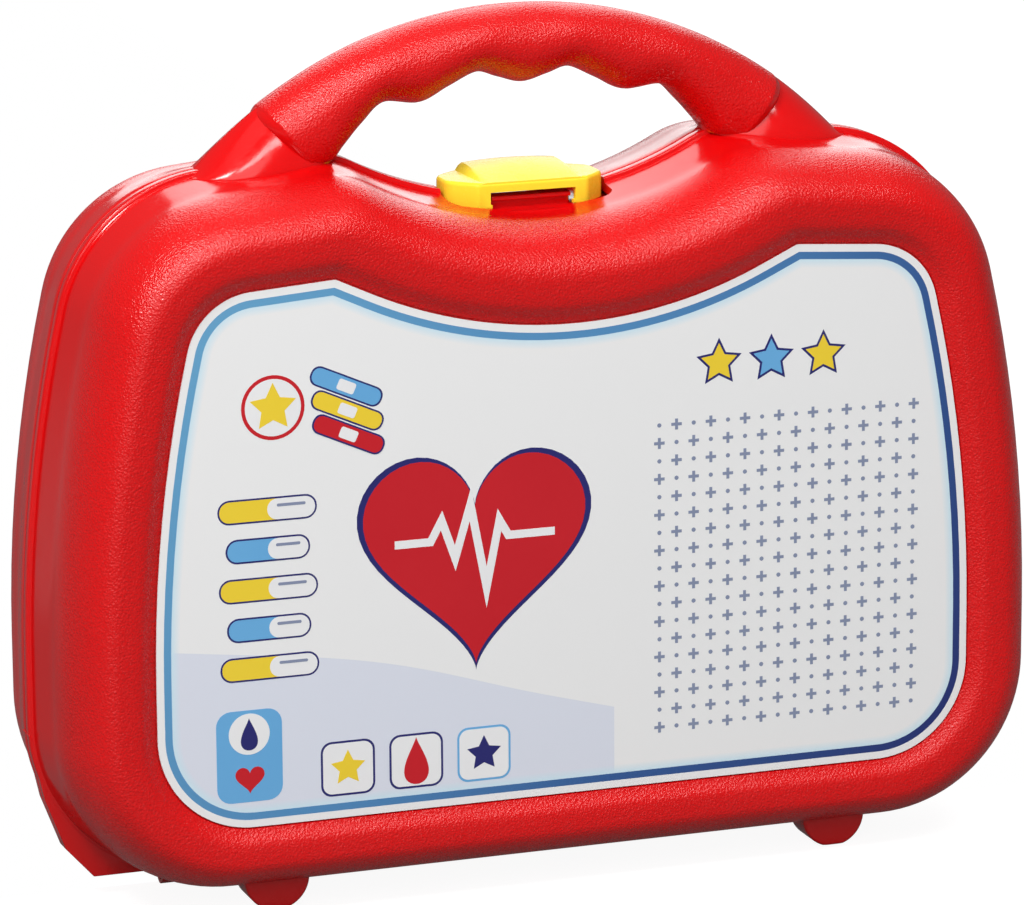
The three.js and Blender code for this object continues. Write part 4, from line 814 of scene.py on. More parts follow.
LABEL_BANDS = [0, 0.5, 1, 1.5, 2, 2.6, 3.2, 4, 4.7, 5.5, 6.5, 8, 10]
LABEL_INSET = 0.3
LABEL_THICKNESS = 0.4
STRIPE_BAND = (2, 4)
MARGIN_BAND = 2.6
GLOW_BAND = (4, 6.4)
STRIPE_SLANT = 0.7
STRIPE_SPAN = (-0.22, 0.1)
STRIPE_STOPS = [
    (0, (104, 166, 206)), (1, (34, 36, 106)), (0.4, (84, 142, 192)), (0.66, (54, 92, 152)),
]
PAPER_COLOUR = (240, 240, 240)
GLOW_COLOUR = (206, 232, 244)
WAVE_COLOUR = (222, 226, 238)
WAVE_SLOPE = 0.16
WAVE_SWING = 0.05
WAVE_TOP = 0.078
WAVE_END = 0.012
SHEET_ROUGHNESS = (0.3, 0.46)


def label_material():
    """Printed sheet: white margin, shaded blue stripe, cyan glow and a pale wave."""
    material, tree, shader = new_material("printed label")
    where = node(tree, "ShaderNodeTexCoord").outputs["Object"]
    split = node(tree, "ShaderNodeSeparateXYZ", Vector=where)
    across, up = split.outputs["X"], split.outputs["Z"]
    inwards = node(tree, "ShaderNodeAttribute", attribute_name="mark").outputs["Fac"]

    def ramp(value, span, stops):
        made = node(tree, "ShaderNodeValToRGB", Fac=ranged(tree, value, *span))
        bands = made.color_ramp.elements
        for i, (place, colour) in enumerate(stops):
            band = bands[i] if i < 2 else bands.new(place)
            band.position = place
            band.color = colour
        return made.outputs["Color"]

    slant = maths(tree, "SUBTRACT", across, maths(tree, "MULTIPLY", up, STRIPE_SLANT))
    stripe = ramp(slant, STRIPE_SPAN, [(place, from_srgb(*colour)) for place, colour in STRIPE_STOPS])
    swing = node(tree, "ShaderNodeTexNoise", Scale=9, Detail=0, Vector=where).outputs["Fac"]
    height = maths(tree, "ADD", up, maths(tree, "MULTIPLY", across, WAVE_SLOPE))
    height = maths(tree, "ADD", height, maths(tree, "MULTIPLY", swing, WAVE_SWING))
    under = maths(tree, "LESS_THAN", height, WAVE_TOP)
    left = maths(tree, "LESS_THAN", across, WAVE_END)
    white = from_srgb(*PAPER_COLOUR)
    paper = mixed(tree, maths(tree, "MULTIPLY", under, left), white, from_srgb(*WAVE_COLOUR))
    fade = ramp(inwards, GLOW_BAND, [(0, (1, 1, 1, 1)), (1, (0, 0, 0, 1))])
    inner = mixed(tree, fade, paper, from_srgb(*GLOW_COLOUR))
    past_start = maths(tree, "GREATER_THAN", inwards, STRIPE_BAND[0])
    before_end = maths(tree, "LESS_THAN", inwards, STRIPE_BAND[1])
    in_stripe = maths(tree, "MULTIPLY", past_start, before_end)
    in_margin = maths(tree, "LESS_THAN", inwards, MARGIN_BAND)
    colour = mixed(tree, in_stripe, mixed(tree, in_margin, inner, white), stripe)
    fibres = node(tree, "ShaderNodeTexNoise", Scale=900, Detail=4, Roughness=0.7, Vector=where)
    fibre = fibres.outputs["Fac"]
    relief = node(tree, "ShaderNodeBump", Strength=0.12, Distance=0.0001, Height=fibre)
    shader.inputs["Specular IOR Level"].default_value = 0.35
    tree.links.new(colour, shader.inputs["Base Color"])
    tree.links.new(ranged(tree, fibre, 0, 1, *SHEET_ROUGHNESS), shader.inputs["Roughness"])
    tree.links.new(relief.outputs["Normal"], shader.inputs["Normal"])
    return material


def label_sheet():
    back = shell_ring(1, LABEL_FACE - LABEL_THICKNESS, LABEL_INSET)
    front = [shell_ring(1, LABEL_FACE, LABEL_INSET + band) for band in LABEL_BANDS]
    mesh = drawn(loft, [back, *front], [0, *LABEL_BANDS])
    sheet = finished("label_sheet", mesh, label_material(), "base")
    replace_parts(sheet, "label_panel")


label_sheet()


# Print on the label: thin layers of ink in plain play shapes

INK_LAYER = 0.03
INK_SINK = 0.01
PRINT_STEPS = 40
STAR_DIP = 0.5
HEART_SPAN = 16
HEART_WAVES = (13, -5, -2, -1)
DROP_POINT = 1.6
DROP_HEIGHT = 1.3


def ink(name, colour, shade):
    return plastic(name, colour, shade, smooth=0.3, rough=0.4, pebble=900, grain=0.3, specular=0.35)


def round_outline(x, z, radius, steps=PRINT_STEPS):
    angles = [2 * pi * i / steps for i in range(steps)]
    return [(x + radius * cos(angle), z + radius * sin(angle)) for angle in angles]


def star_outline(x, z, radius, points=5):
    outline = []
    for i in range(2 * points):
        reach = radius if i % 2 == 0 else radius * STAR_DIP
        angle = pi / 2 + pi * i / points
        outline.append((x + reach * cos(angle), z + reach * sin(angle)))
    return outline


def heart_outline(x, z, width):
    """A heart whose height at each turn is a sum of waves."""
    scale = width / (2 * HEART_SPAN)
    outline = []
    for i in range(2 * PRINT_STEPS):
        turn = pi * (i + 0.5) / PRINT_STEPS
        up = sum(wave * cos(count * turn) for count, wave in enumerate(HEART_WAVES, 1))
        outline.append((x + HEART_SPAN * sin(turn) ** 3 * scale, z + up * scale))
    return outline


def drop_outline(x, z, radius):
    outline = []
    for i in range(PRINT_STEPS):
        turn = 2 * pi * i / PRINT_STEPS
        across = sin(turn) * sin(turn / 2) ** DROP_POINT
        outline.append((x + radius * across, z + radius * DROP_HEIGHT * cos(turn)))
    return outline


def plus_outline(x, z, reach, half):
    """A plain plus with arms of one width."""
    quarter = [(reach, half), (half, half), (half, reach)]
    outline = []
    for turn in range(4):
        spin = Matrix.Rotation(pi / 2 * turn, 2)
        outline += [Vector((x, z)) + spin @ Vector(point) for point in quarter]
    return outline


def band_outline(path, half):
    """A band of even width along a path of (x, z) points."""
    spots = [Vector(point) for point in path]
    ways = [(after - before).normalized() for before, after in zip(spots, spots[1:])]
    left, right = [], []
    for spot, before, after in zip(spots, [ways[0], *ways], [*ways, ways[-1]]):
        across = Vector((-before.y - after.y, before.x + after.x)) / (1 + before.dot(after))
        left.append(spot + across * half)
        right.append(spot - across * half)
    return [*left, *reversed(right)]


# Places on the label as (x, z), and sizes as (width, height, corner radius)
HEART_PLACE = (-27, 98)
HEART_WIDTH = 62
HEART_RIM = 3.4
PULSE_HALF = 1.1
PULSE_SHARES = [
    (-0.36, 0.02), (-0.2, 0.02), (-0.15, 0.11), (-0.09, -0.06), (-0.02, 0.17), (0.05, -0.2),
    (0.11, 0.09), (0.15, 0.02), (0.36, 0.02),
]
CAPSULE_START = (-84, 112)
CAPSULES = [("yellow", 13), ("sky", 11), ("yellow", 13), ("sky", 11), ("yellow", 13)]
CAPSULE_PITCH = 10.6
CAPSULE_HEIGHT = 5.6
CAPSULE_ROUND = 2.7
CAPSULE_RIM = 0.5
SHINE_LIFT = 1
SHINE_SHARE = 0.6
SHINE_SIZE = (0.8, 0.35)
BADGE_PLACE = (-82, 139)
BADGE_RADII = (8.6, 7.6, 6.6)
PLASTER_PLACE = (-62, 143)
PLASTER_INKS = ("sky", "yellow", "red")
PLASTER_STEP = (0.2, -6.4)
PLASTER_TURN = -24
PLASTER_SIZES = [(21, 5.4, 2.4), (20, 4.5, 2), (5, 3, 0.6)]
PANEL_PLACE = (-90, 46)
PANEL_SIZE = (18, 25, 4)
PANEL_DROP = (-90, 52)
PANEL_DROP_RADII = (5.6, 3.4)
PANEL_HEART = (-90, 40, 8)
CARDS = [("navy", "yellow", star_outline), ("navy", "red", drop_outline), ("sky", "navy", star_outline)]
CARD_START = (-63, 40)
CARD_PITCH = 19
CARD_SIZES = [(15, 15, 3), (13.8, 13.8, 2.5)]
CARD_PRINT = 5
STAR_INKS = ("yellow", "sky", "yellow")
STAR_START = (42, 141)
STAR_PITCH = 15
STAR_RADII = (6.8, 5.4)
DOT_COLUMNS = 16
DOT_ROWS = 18
DOT_PITCH = 4.9
DOT_START = (25, 42)
DOT_RADIUS = 0.62
DOT_SIDES = 8
PLUS_REACH = 1.5
PLUS_HALF = 0.42


def label_print():
    inks = {
        "red": ink("red print", (206, 34, 44), (196, 26, 38)),
        "navy": ink("navy print", (44, 44, 116), (38, 38, 104)),
        "sky": ink("sky blue print", (112, 178, 226), (100, 168, 220)),
        "yellow": ink("yellow print", (244, 214, 64), (240, 206, 50)),
        "white": ink("white print", (242, 242, 242), (236, 236, 238)),
        "slate": ink("slate print", (140, 150, 176), (130, 140, 168)),
    }
    meshes = {name: bmesh.new() for name in inks}

    def stamp(*shapes, first=1):
        """Prints shapes over each other, each given as its ink and its outline."""
        for layer, (name, outline) in enumerate(shapes, first):
            slab(meshes[name], outline, -(LABEL_FACE - INK_SINK), -(LABEL_FACE + layer * INK_LAYER))

    x, z = HEART_PLACE
    pulse = [(x + a * HEART_WIDTH, z + b * HEART_WIDTH) for a, b in PULSE_SHARES]
    stamp(
        ("navy", heart_outline(x, z, HEART_WIDTH + HEART_RIM)), ("red", heart_outline(x, z, HEART_WIDTH)),
        ("white", band_outline(pulse, PULSE_HALF)))

    x, top = CAPSULE_START
    for row, (name, reach) in enumerate(CAPSULES):
        z = top - row * CAPSULE_PITCH
        rim = (2 * (reach + CAPSULE_RIM), CAPSULE_HEIGHT + 2 * CAPSULE_RIM, CAPSULE_ROUND + CAPSULE_RIM)
        stamp(
            ("navy", rounded_box(x, z, *rim)),
            (name, rounded_box(x, z, 2 * reach, CAPSULE_HEIGHT, CAPSULE_ROUND)),
            ("white", rounded_box(x + reach / 2, z, reach, CAPSULE_HEIGHT, CAPSULE_ROUND)),
            ("slate", rounded_box(x + reach / 2, z + SHINE_LIFT, reach * SHINE_SHARE, *SHINE_SIZE)))

    rim, face, star = BADGE_RADII
    stamp(
        ("red", round_outline(*BADGE_PLACE, rim)), ("white", round_outline(*BADGE_PLACE, face)),
        ("yellow", star_outline(*BADGE_PLACE, star)))
    for i, name in enumerate(PLASTER_INKS):
        place = [start + step * i for start, step in zip(PLASTER_PLACE, PLASTER_STEP)]
        rim, strip, pad = (rounded_box(*place, *size, PLASTER_TURN) for size in PLASTER_SIZES)
        stamp(("navy", rim), (name, strip), ("white", pad), first=1 + i)

    face, drop = PANEL_DROP_RADII
    stamp(
        ("sky", rounded_box(*PANEL_PLACE, *PANEL_SIZE)), ("white", round_outline(*PANEL_DROP, face)),
        ("navy", drop_outline(*PANEL_DROP, drop)))
    stamp(("red", heart_outline(*PANEL_HEART)), first=2)
    for i, (edge, name, draw) in enumerate(CARDS):
        x, z = CARD_START[0] + CARD_PITCH * i, CARD_START[1]
        rim, face = (rounded_box(x, z, *size) for size in CARD_SIZES)
        stamp((edge, rim), ("white", face), (name, draw(x, z, CARD_PRINT)))

    for i, name in enumerate(STAR_INKS):
        x, z = STAR_START[0] + STAR_PITCH * i, STAR_START[1]
        stamp(("navy", star_outline(x, z, STAR_RADII[0])), (name, star_outline(x, z, STAR_RADII[1])))

    for row in range(DOT_ROWS):
        for column in range(DOT_COLUMNS):
            x, z = DOT_START[0] + column * DOT_PITCH, DOT_START[1] + row * DOT_PITCH
            if (row + column) % 2:
                stamp(("slate", round_outline(x, z, DOT_RADIUS, DOT_SIDES)))
            else:
                stamp(("slate", plus_outline(x, z, PLUS_REACH, PLUS_HALF)))
    for name, mesh in meshes.items():
        finished(f"label_print_{name}", mesh, inks[name], "base", smooth=20)


label_print()


# Latch

LATCH_LEG_ROUND = (2.4, 8)
LATCH_LOBE_ROUND = (5.6, 16)
LATCH_FOOT_PROFILE = [(0.35, 0), (0.1, 0.1), (0, 0.35)]
LATCH_EDGE_STEPS = 8
LATCH_MOUTH_SILL = 1
LATCH_MOUTH_DEPTH = 3.4
LATCH_NUB = 0.5
LATCH_FOOT_GAP = 2
LATCH_TAIL_GAP = 0.5
LATCH_EYE = (10.7, 17.2)
LATCH_SOFTENING = 0.3
CUT_REACH = 4
CROWN_WAIST_SHARE = 0.06
CROWN_SHOULDER_SHARE = 0.16
CROWN_ARCH_SHARE = 0.34
CROWN_ROOT_SHARE = 0.9
CROWN_SEAT = 0.5
CROWN_ROOT = 1.4


def latch_ring(inset, height):
    corners = mirrored([
        (LATCH_LEG_EDGE, -LATCH_FRONT, *LATCH_LEG_ROUND),
        (LATCH_WIDTH / 2, -LATCH_LOBE, *LATCH_LOBE_ROUND),
        (LATCH_WIDTH / 2, LATCH_LOBE, *LATCH_LOBE_ROUND),
        (LATCH_LEG_EDGE, LATCH_TAIL, *LATCH_LEG_ROUND),
    ])
    return [Vector((point.x, point.y, height)) for point in rounded_loop(corners, inset)]


def latch_cap():
    """The hollow cap with its rounded top edge, and the mouth between its two legs."""
    rings = [latch_ring(LATCH_WALL, LATCH_TOP - LATCH_WALL), latch_ring(LATCH_WALL, LATCH_BASE)]
    rings += [latch_ring(inset, LATCH_BASE + rise) for inset, rise in LATCH_FOOT_PROFILE]
    for step in range(LATCH_EDGE_STEPS + 1):
        angle = pi / 2 * step / LATCH_EDGE_STEPS
        rings.append(latch_ring(
            LATCH_EDGE * (1 - cos(angle)), LATCH_TOP - LATCH_EDGE * (1 - sin(angle))))
    half_mouth = LATCH_MOUTH_WIDTH / 2
    half_gap = half_mouth - LATCH_NUB
    front, back = -LATCH_FRONT - CUT_REACH, LATCH_MOUTH_DEPTH - LATCH_FRONT
    low = LATCH_BASE - CUT_REACH
    mouth = box_mesh(
        (-half_mouth, front, LATCH_BASE + LATCH_MOUTH_SILL),
        (half_mouth, back, LATCH_BASE + LATCH_MOUTH_HEIGHT))
    foot_gap = box_mesh((-half_gap, front, low), (half_gap, back, LATCH_BASE + LATCH_FOOT_GAP))
    tail_gap = box_mesh(
        (-LATCH_WIDTH, LATCH_PIN_REACH, low),
        (LATCH_WIDTH, LATCH_TAIL + CUT_REACH, LATCH_PIN_HEIGHT - LATCH_TAIL_GAP))
    cap = carved(drawn(loft, rings), mouth, foot_gap, tail_gap)
    for side in (-1, 1):
        near, far = (Vector((side * x, LATCH_PIN_REACH, LATCH_PIN_HEIGHT)) for x in LATCH_EYE)
        rod(cap, near, far, BOSS_RADIUS)
    return cap


def latch_crown(mesh):
    """The raised middle: arched across, sloping down to the front edge."""
    half = LATCH_CROWN_WIDTH / 2
    rings = []
    for along, rise in LATCH_CROWN:
        y = LATCH_FRONT * along if along < 0 else LATCH_TAIL * along
        ring = []
        for step in range(LATCH_CROWN_STEPS + 1):
            share = 2 * step / LATCH_CROWN_STEPS - 1
            x = half * (1 - abs(share) ** 3 * CROWN_WAIST_SHARE) * share
            shoulder = smooth_step(min(1, (1 - abs(share)) / CROWN_SHOULDER_SHARE))
            arch = 1 - CROWN_ARCH_SHARE * share ** 2
            lift = (LATCH_CROWN_RISE * rise * arch + CROWN_SEAT) * shoulder
            ring.append(Vector((x, y, LATCH_TOP - CROWN_SEAT + lift)))
        for side in (1, -1):
            ring.append(Vector((side * half * CROWN_ROOT_SHARE, y, LATCH_TOP - CROWN_ROOT)))
        rings.append(ring)
    loft(mesh, rings)


def latch():
    cap = finished("latch_cap", latch_cap(), YELLOW, "latch")
    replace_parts(beveled(cap, LATCH_SOFTENING), "latch")
    finished("latch_crown", drawn(latch_crown), YELLOW, "latch")


latch()


def pin_finish(name, material):
    """The finish of a pin that keeps its CAD shape."""
    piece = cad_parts[name]
    piece.data.materials.clear()
    piece.data.materials.append(material)


pin_finish("latch_pin", YELLOW)
for place in ("outer_left", "outer_right", "inner_left", "inner_right"):
    pin_finish(f"hinge_pin_{place}", RED_TOY)


# Liner trays

LID_DECK = 14
BASE_DECK = 20
TRAY_SHEET = 1.6
TRAY_RIM = 3
TRAY_RIM_WIDTH = 5
TRAY_SLOPE = 4
TRAY_ROUND = 1.2
WELL_GAP = 0.5
WELL_STEPS = 20
WELL_LIP = 0.9
WELL_ROUND_STEPS = 4
PAD_GAP = 0.6
INSTRUMENT_DEPTH = 18
EASED_SHARE = 0.45


def place_at(x_share, z_share):
    """A place seen from the front, from its shares of half the width and of the shoulder height."""
    return Vector((x_share * HALF_WIDTH, z_share * SHOULDER_HEIGHT))


def along(start, end, distance):
    return start + (end - start).normalized() * distance


def slot_outline(start, end, radius, steps=WELL_STEPS):
    """A slot with round ends between two (x, z) places."""
    way = atan2(end.y - start.y, end.x - start.x)
    outline = []
    for place, first in ((end, way - pi / 2), (start, way + pi / 2)):
        for step in range(steps + 1):
            angle = first + pi * step / steps
            outline.append(place + Vector((cos(angle), sin(angle))) * radius)
    return outline


def slot_well(start, end, radius, depth):
    """A well for a piece of that radius: its outline as a function of growth, and its depth."""
    return lambda grow: slot_outline(start, end, radius + WELL_GAP + grow), depth + CLEARANCE


def well_room(mesh, outline_at, deck, depth, way):
    """The hollow of a well, with a rounded lip at the deck and a rounded floor."""
    profile = [(deck - TRAY_SHEET / 2, WELL_LIP)]
    for step in range(WELL_ROUND_STEPS + 1):
        angle = pi / 2 * step / WELL_ROUND_STEPS
        profile.append((deck + WELL_LIP * sin(angle), WELL_LIP * (1 - sin(angle))))
    for step in range(WELL_ROUND_STEPS + 1):
        angle = pi / 2 * step / WELL_ROUND_STEPS
        profile.append((depth - WELL_LIP * (1 - sin(angle)), WELL_LIP * (cos(angle) - 1)))
    loft(mesh, [[Vector((x, way * y, z)) for x, z in outline_at(grow)] for y, grow in profile])


def tray(mesh, deck, wells, way):
    """A rim flange behind the seam, a sloping wall and a flat deck with wells sunk into it."""
    edge = WALL + CLEARANCE
    profile = [
        (deck + TRAY_SHEET, edge + TRAY_RIM_WIDTH + TRAY_SLOPE - TRAY_SHEET / 2),
        (TRAY_RIM + TRAY_SHEET, edge + TRAY_RIM_WIDTH - TRAY_SHEET / 2),
        (TRAY_RIM + TRAY_SHEET, edge),
        (TRAY_RIM, edge),
        (TRAY_RIM, edge + TRAY_RIM_WIDTH),
        (deck, edge + TRAY_RIM_WIDTH + TRAY_SLOPE),
        (deck, edge + TRAY_RIM_WIDTH + 2 * TRAY_SLOPE),
    ]
    rings = [shell_ring(draft_at(depth), depth, inset) for depth, inset in eased(profile, TRAY_ROUND)]
    whole = drawn(loft, rings)
    if way > 0:
        turned_round(whole)
    reach = LATCH_WIDTH / 2 + POCKET_MARGIN + WALL + PAD_GAP
    room = box_mesh(
        (-reach, -SHELL_DEPTH, POCKET_FLOOR - PAD_DROP - PAD_GAP),
        (reach, SHELL_DEPTH, POCKET_FLOOR + POCKET_HEIGHT))
    walls, hollows = [], []
    for outline_at, depth in wells:
        top, bottom = way * (deck + TRAY_SHEET / 2), way * (depth + TRAY_SHEET)
        walls.append(drawn(slab, outline_at(TRAY_SHEET), top, bottom))
        hollows.append(drawn(well_room, outline_at, deck, depth, way))
    carved(carved(whole, room), *hollows, into=mesh, added=walls)


def eased(profile, radius, steps=4):
    """Rounds the inner corners of an open profile of pairs."""
    points = [Vector(point) for point in profile]
    made = [points[0]]
    for before, corner, after in zip(points, points[1:], points[2:]):
        reach = min(radius, *((end - corner).length * EASED_SHARE for end in (before, after)))
        start = corner + (before - corner).normalized() * reach
        end = corner + (after - corner).normalized() * reach
        for step in range(steps + 1):
            share = step / steps
            made.append(start.lerp(corner, share).lerp(corner.lerp(end, share), share))
    return [*made, points[-1]]


# Play instruments: the lines that they lie along, from handle to head, and their turned profiles

THERMOMETER = (place_at(-0.4489, 0.147), place_at(-0.6719, 0.7308))
OTOSCOPE = (place_at(-0.2115, 0.147), place_at(-0.3158, 0.7308))
PROBE = (place_at(-0.0216, 0.1768), place_at(-0.023, 0.6566))
HAMMER = (place_at(0.1741, 0.1414), place_at(0.2568, 0.7359))
SYRINGE = (place_at(0.3971, 0.1071), place_at(0.7158, 0.7111))
BULB = (place_at(-0.3669, 0.404), place_at(-0.2259, 0.503))
PACK_PLACE = place_at(0.6906, 0.2303)


def across_top(start, end):
    """The line that runs square to an instrument from its top."""
    return end, Vector((end.x + end.y - start.y, end.y + start.x - end.x))


OTOSCOPE_HEAD = across_top(*OTOSCOPE)
HAMMER_HEAD = across_top(*HAMMER)
THERMOMETER_RADIUS = 10.5
THERMOMETER_FLAT = 0.48
OTOSCOPE_RADIUS = 11.5
OTOSCOPE_HEAD_RADIUS = 13.4
CAP_RADIUS = 6.3
CAP_MIDDLE = 95
CAP_STEPS = 12
HAMMER_RADIUS = 11.2
HAMMER_HEAD_RADIUS = 13.6
BARREL_RADIUS = 8.75
PLUNGER_RADIUS = 12
RING_REACH = 21.2
RING_RADIUS = 8.6
RING_TUBE = 2.4
RING_OVERLAP = 0.2
RING_HOLE_DEPTH = 40
RING_PLACE = 86
BAR_WIDTH = 7
BAR_EDGE = 0.6
BULB_RADIUS = 19.5
BULB_DEPTH = 18.4
BULB_FLAT = 0.72
PACK_TURN = 25
PACK_SIZE = (29, 48, 8)
PACK_CORNER = 2
PACK_CUSHION = [(-2.6, 0), (-1.4, 0.35), (-0.5, 1.4), (0, 3.2)]

# Shares of a radius and a length, with the radius, the length and the distance at which it starts
PROFILE_SHARES = {
    "thermometer_body": (
        [(0.7048, 0), (0.9143, 0.03), (1, 0.0952), (1, 0.8513), (0.8571, 0.9426), (0.4381, 1)],
        THERMOMETER_RADIUS, 76.7, 42.7),
    "thermometer_tip": (
        [(0.3478, 0), (0.7391, 0.033), (0.913, 0.0943), (0.7391, 0.2123), (0.7391, 0.7075),
         (1, 0.8019), (1, 1)],
        4.6, 42.4, 0),
    "otoscope_handle": (
        [(0.8174, 0), (1, 0.0349), (1, 0.9619), (0.8348, 1)], OTOSCOPE_RADIUS, 63, 0),
    "otoscope_neck": (
        [(1, 0.5861), (1, 0.7778), (0.7941, 0.8333), (0.7941, 1)], 6.8, 108, 0),
    "otoscope_cone": (
        [(0.8657, -0.3032), (1, -0.2452), (1, 0.2258), (0.6119, 0.3355), (0.3881, 0.5806), (0.2537, 1)],
        OTOSCOPE_HEAD_RADIUS, 31, 0),
    "probe": (
        [(0.3, 0), (0.52, 0.0226), (0.52, 0.3846), (1, 0.4751), (1, 0.905), (0.64, 0.9502), (0.64, 1)],
        5, 88.4, 0),
    "hammer_handle": (
        [(0.8214, 0), (1, 0.0355), (1, 0.9613), (0.8393, 1)], HAMMER_RADIUS, 62, 0),
    "hammer_neck": (
        [(1, 0.5563), (1, 0.75), (0.8125, 0.8036), (0.8125, 1)], 6.4, 112, 0),
    "hammer_block": (
        [(0.1176, -1), (0.3088, -0.9263), (0.9559, -0.3158), (1, -0.1754), (0.6176, -0.0702),
         (0.6176, 0.2807), (1, 0.386), (1, 0.8772), (0.8529, 1)],
        HAMMER_HEAD_RADIUS, 28.5, 0),
    "syringe_barrel": (
        [(0.2057, 0), (0.2743, 0.0089), (0.3429, 0.1333), (0.9143, 0.1889), (1, 0.2222), (1, 1)],
        BARREL_RADIUS, 90, 0),
    "syringe_bore": ([(1, 0), (1, 1)], 7, 74, 20),
    "syringe_plunger": (
        [(0.55, 0.3525), (0.55, 0.3957), (0.25, 0.4101), (0.25, 0.8129), (0.55, 0.8309),
         (0.9167, 0.8669), (1, 0.9173), (0.75, 0.9741), (0.3333, 1)],
        PLUNGER_RADIUS, 139, 0),
    "ear_tip": (
        [(0.7, -0.371), (0.8333, -0.1613), (1, 0.2097), (1, 0.4839), (0.6333, 0.8548), (0.2667, 1)],
        6, 12.4, 0),
    "bulb": (
        [(0.2564, -0.7004), (0.6154, -0.5632), (0.8923, -0.3249), (1, 0), (0.9026, 0.3249),
         (0.6359, 0.5776), (0.3282, 0.7798), (0.2359, 1)],
        BULB_RADIUS, 27.7, 0),
}

# Grooves of the handles: start, end, number and depth, and one groove in shares of depth and pitch
GROOVES = {"otoscope_handle": (10, 52, 9, 0.7), "hammer_handle": (10, 51, 9, 0.7)}
GROOVE_SHARES = [(0, 0), (1, 0.2), (1, 0.42), (0, 0.62)]

TURNED_SIDES = 56
END_RADIUS = 0.05
EDGE_ROUND = 0.8
SOFT_ROUND = 3
MARK_SINK = 0.6
MARK_HALF = 0.22
MARK_GROUP = 5
SHORT_MARK_SHARE = 0.625
PRINT_RISE = 0.05
SCALE_SPAN = (76, 104)
SCALE_RADIUS = 4.2
SCALE_RISE = 0.25
SCALE_SINK = 1.2
SCALE_MARK_RISE = 0.34


def profile_of(name):
    shares, radius, length, start = PROFILE_SHARES[name]
    profile = [(r * radius, start + h * length) for r, h in shares]
    if name not in GROOVES:
        return profile
    low, high, count, depth = GROOVES[name]
    pitch = (high - low) / count
    grooves = [
        (radius - dip * depth, low + (i + rise) * pitch)
        for i in range(count) for dip, rise in GROOVE_SHARES]
    before = [point for point in profile if point[1] <= low]
    return [*before, *grooves, *[point for point in profile if point[1] >= high]]


def lathe(mesh, profile, origin, axes, edge, sides):
    """A closed profile of (radius, height) turned about the first of three axes from a point."""
    ahead, side, back = axes
    closed = [(END_RADIUS, profile[0][1]), *profile, (END_RADIUS, profile[-1][1])]
    rings = []
    for radius, height in eased(closed, edge):
        ring = []
        for step in range(sides):
            angle = 2 * pi * step / sides
            ring.append(origin + ahead * height + (side * cos(angle) + back * sin(angle)) * radius)
        rings.append(ring)
    loft(mesh, rings)


def turned(mesh, profile, start, end, depth=INSTRUMENT_DEPTH, flat=1, edge=EDGE_ROUND):
    """A profile turned about the line between two (x, z) places."""
    way = (end - start).normalized()
    axes = Vector((way.x, 0, way.y)), Vector((way.y, 0, -way.x)), Vector((0, flat, 0))
    lathe(mesh, profile, Vector((start.x, depth, start.y)), axes, edge, TURNED_SIDES)


def turned_on(mesh, profile, origin, way, edge=EDGE_ROUND, sides=TURNED_SIDES):
    """A profile turned about any way from a point."""
    ahead = way.normalized()
    side = ahead.orthogonal().normalized()
    lathe(mesh, profile, origin, (ahead, side, ahead.cross(side)), edge, sides)


def for_node(name, mesh, material, body):
    """A finished piece that stands for the CAD node of its name."""
    piece = finished(f"{name}_piece", mesh, material, body)
    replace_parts(piece, name)
    return piece


def instrument(name, material, slot, *profiles, body="lid", **settings):
    """A piece of turned profiles, each given with the line that its axis follows."""
    parts = [drawn(turned, profile, *line, **settings) for profile, line in profiles]
    mesh = parts[0] if len(parts) == 1 else carved(parts[0], added=parts[1:])
    for_node(name, mesh, material, body)


def tick_marks(name, line, span, count, width, depth, colour):
    """Printed marks across a piece, one in each group longer."""
    mesh = bmesh.new()
    way = (line[1] - line[0]).normalized()
    across = Vector((way.y, -way.x)) * width / 2
    for i in range(count):
        end = along(*line, lerp(*span, i / (count - 1))) + across
        length = 2 if i % MARK_GROUP == 0 else 2 * SHORT_MARK_SHARE
        slab(mesh, band_outline([end - across * length, end], MARK_HALF), depth, depth + MARK_SINK)
    finished(name, mesh, colour, "lid")


def ring_places():
    middle = along(*SYRINGE, RING_PLACE)
    way = (SYRINGE[1] - SYRINGE[0]).normalized()
    return [middle + Vector((way.y, -way.x)) * RING_REACH * side for side in (-1, 1)]


def pack_outline(grow):
    width, length, _ = PACK_SIZE
    return rounded_box(*PACK_PLACE, width + 2 * grow, length + 2 * grow, PACK_CORNER, -PACK_TURN)


# Wells of the lid's tray: line, radius, flatness, and where on the line they run if not along all of it
LID_WELLS = [
    (THERMOMETER, THERMOMETER_RADIUS, THERMOMETER_FLAT, (10.5, 110.6)),
    (OTOSCOPE, OTOSCOPE_RADIUS, 1, None),
    (OTOSCOPE_HEAD, OTOSCOPE_HEAD_RADIUS, 1, (-9.6, 19)),
    (PROBE, CAP_RADIUS, 1, None),
    (HAMMER, HAMMER_RADIUS, 1, None),
    (HAMMER_HEAD, HAMMER_HEAD_RADIUS, 1, (-16, 25.4)),
    (SYRINGE, BARREL_RADIUS, 1, (7, 139)),
    (SYRINGE, PLUNGER_RADIUS, 1, (104, 139)),
]
BULB_WELL_SPAN = (-0.6, 11)


def lid_wells():
    wells = []
    for line, radius, flat, span in LID_WELLS:
        ends = [along(*line, distance) for distance in span] if span else line
        wells.append(slot_well(*ends, radius, INSTRUMENT_DEPTH + radius * flat))
    pack_depth = INSTRUMENT_DEPTH + PACK_SIZE[2] / 2 + CLEARANCE
    return [
        *wells,
        slot_well(*ring_places(), RING_RADIUS + RING_TUBE, INSTRUMENT_DEPTH + BAR_WIDTH / 2),
        (lambda grow: pack_outline(WELL_GAP + grow), pack_depth),
    ]


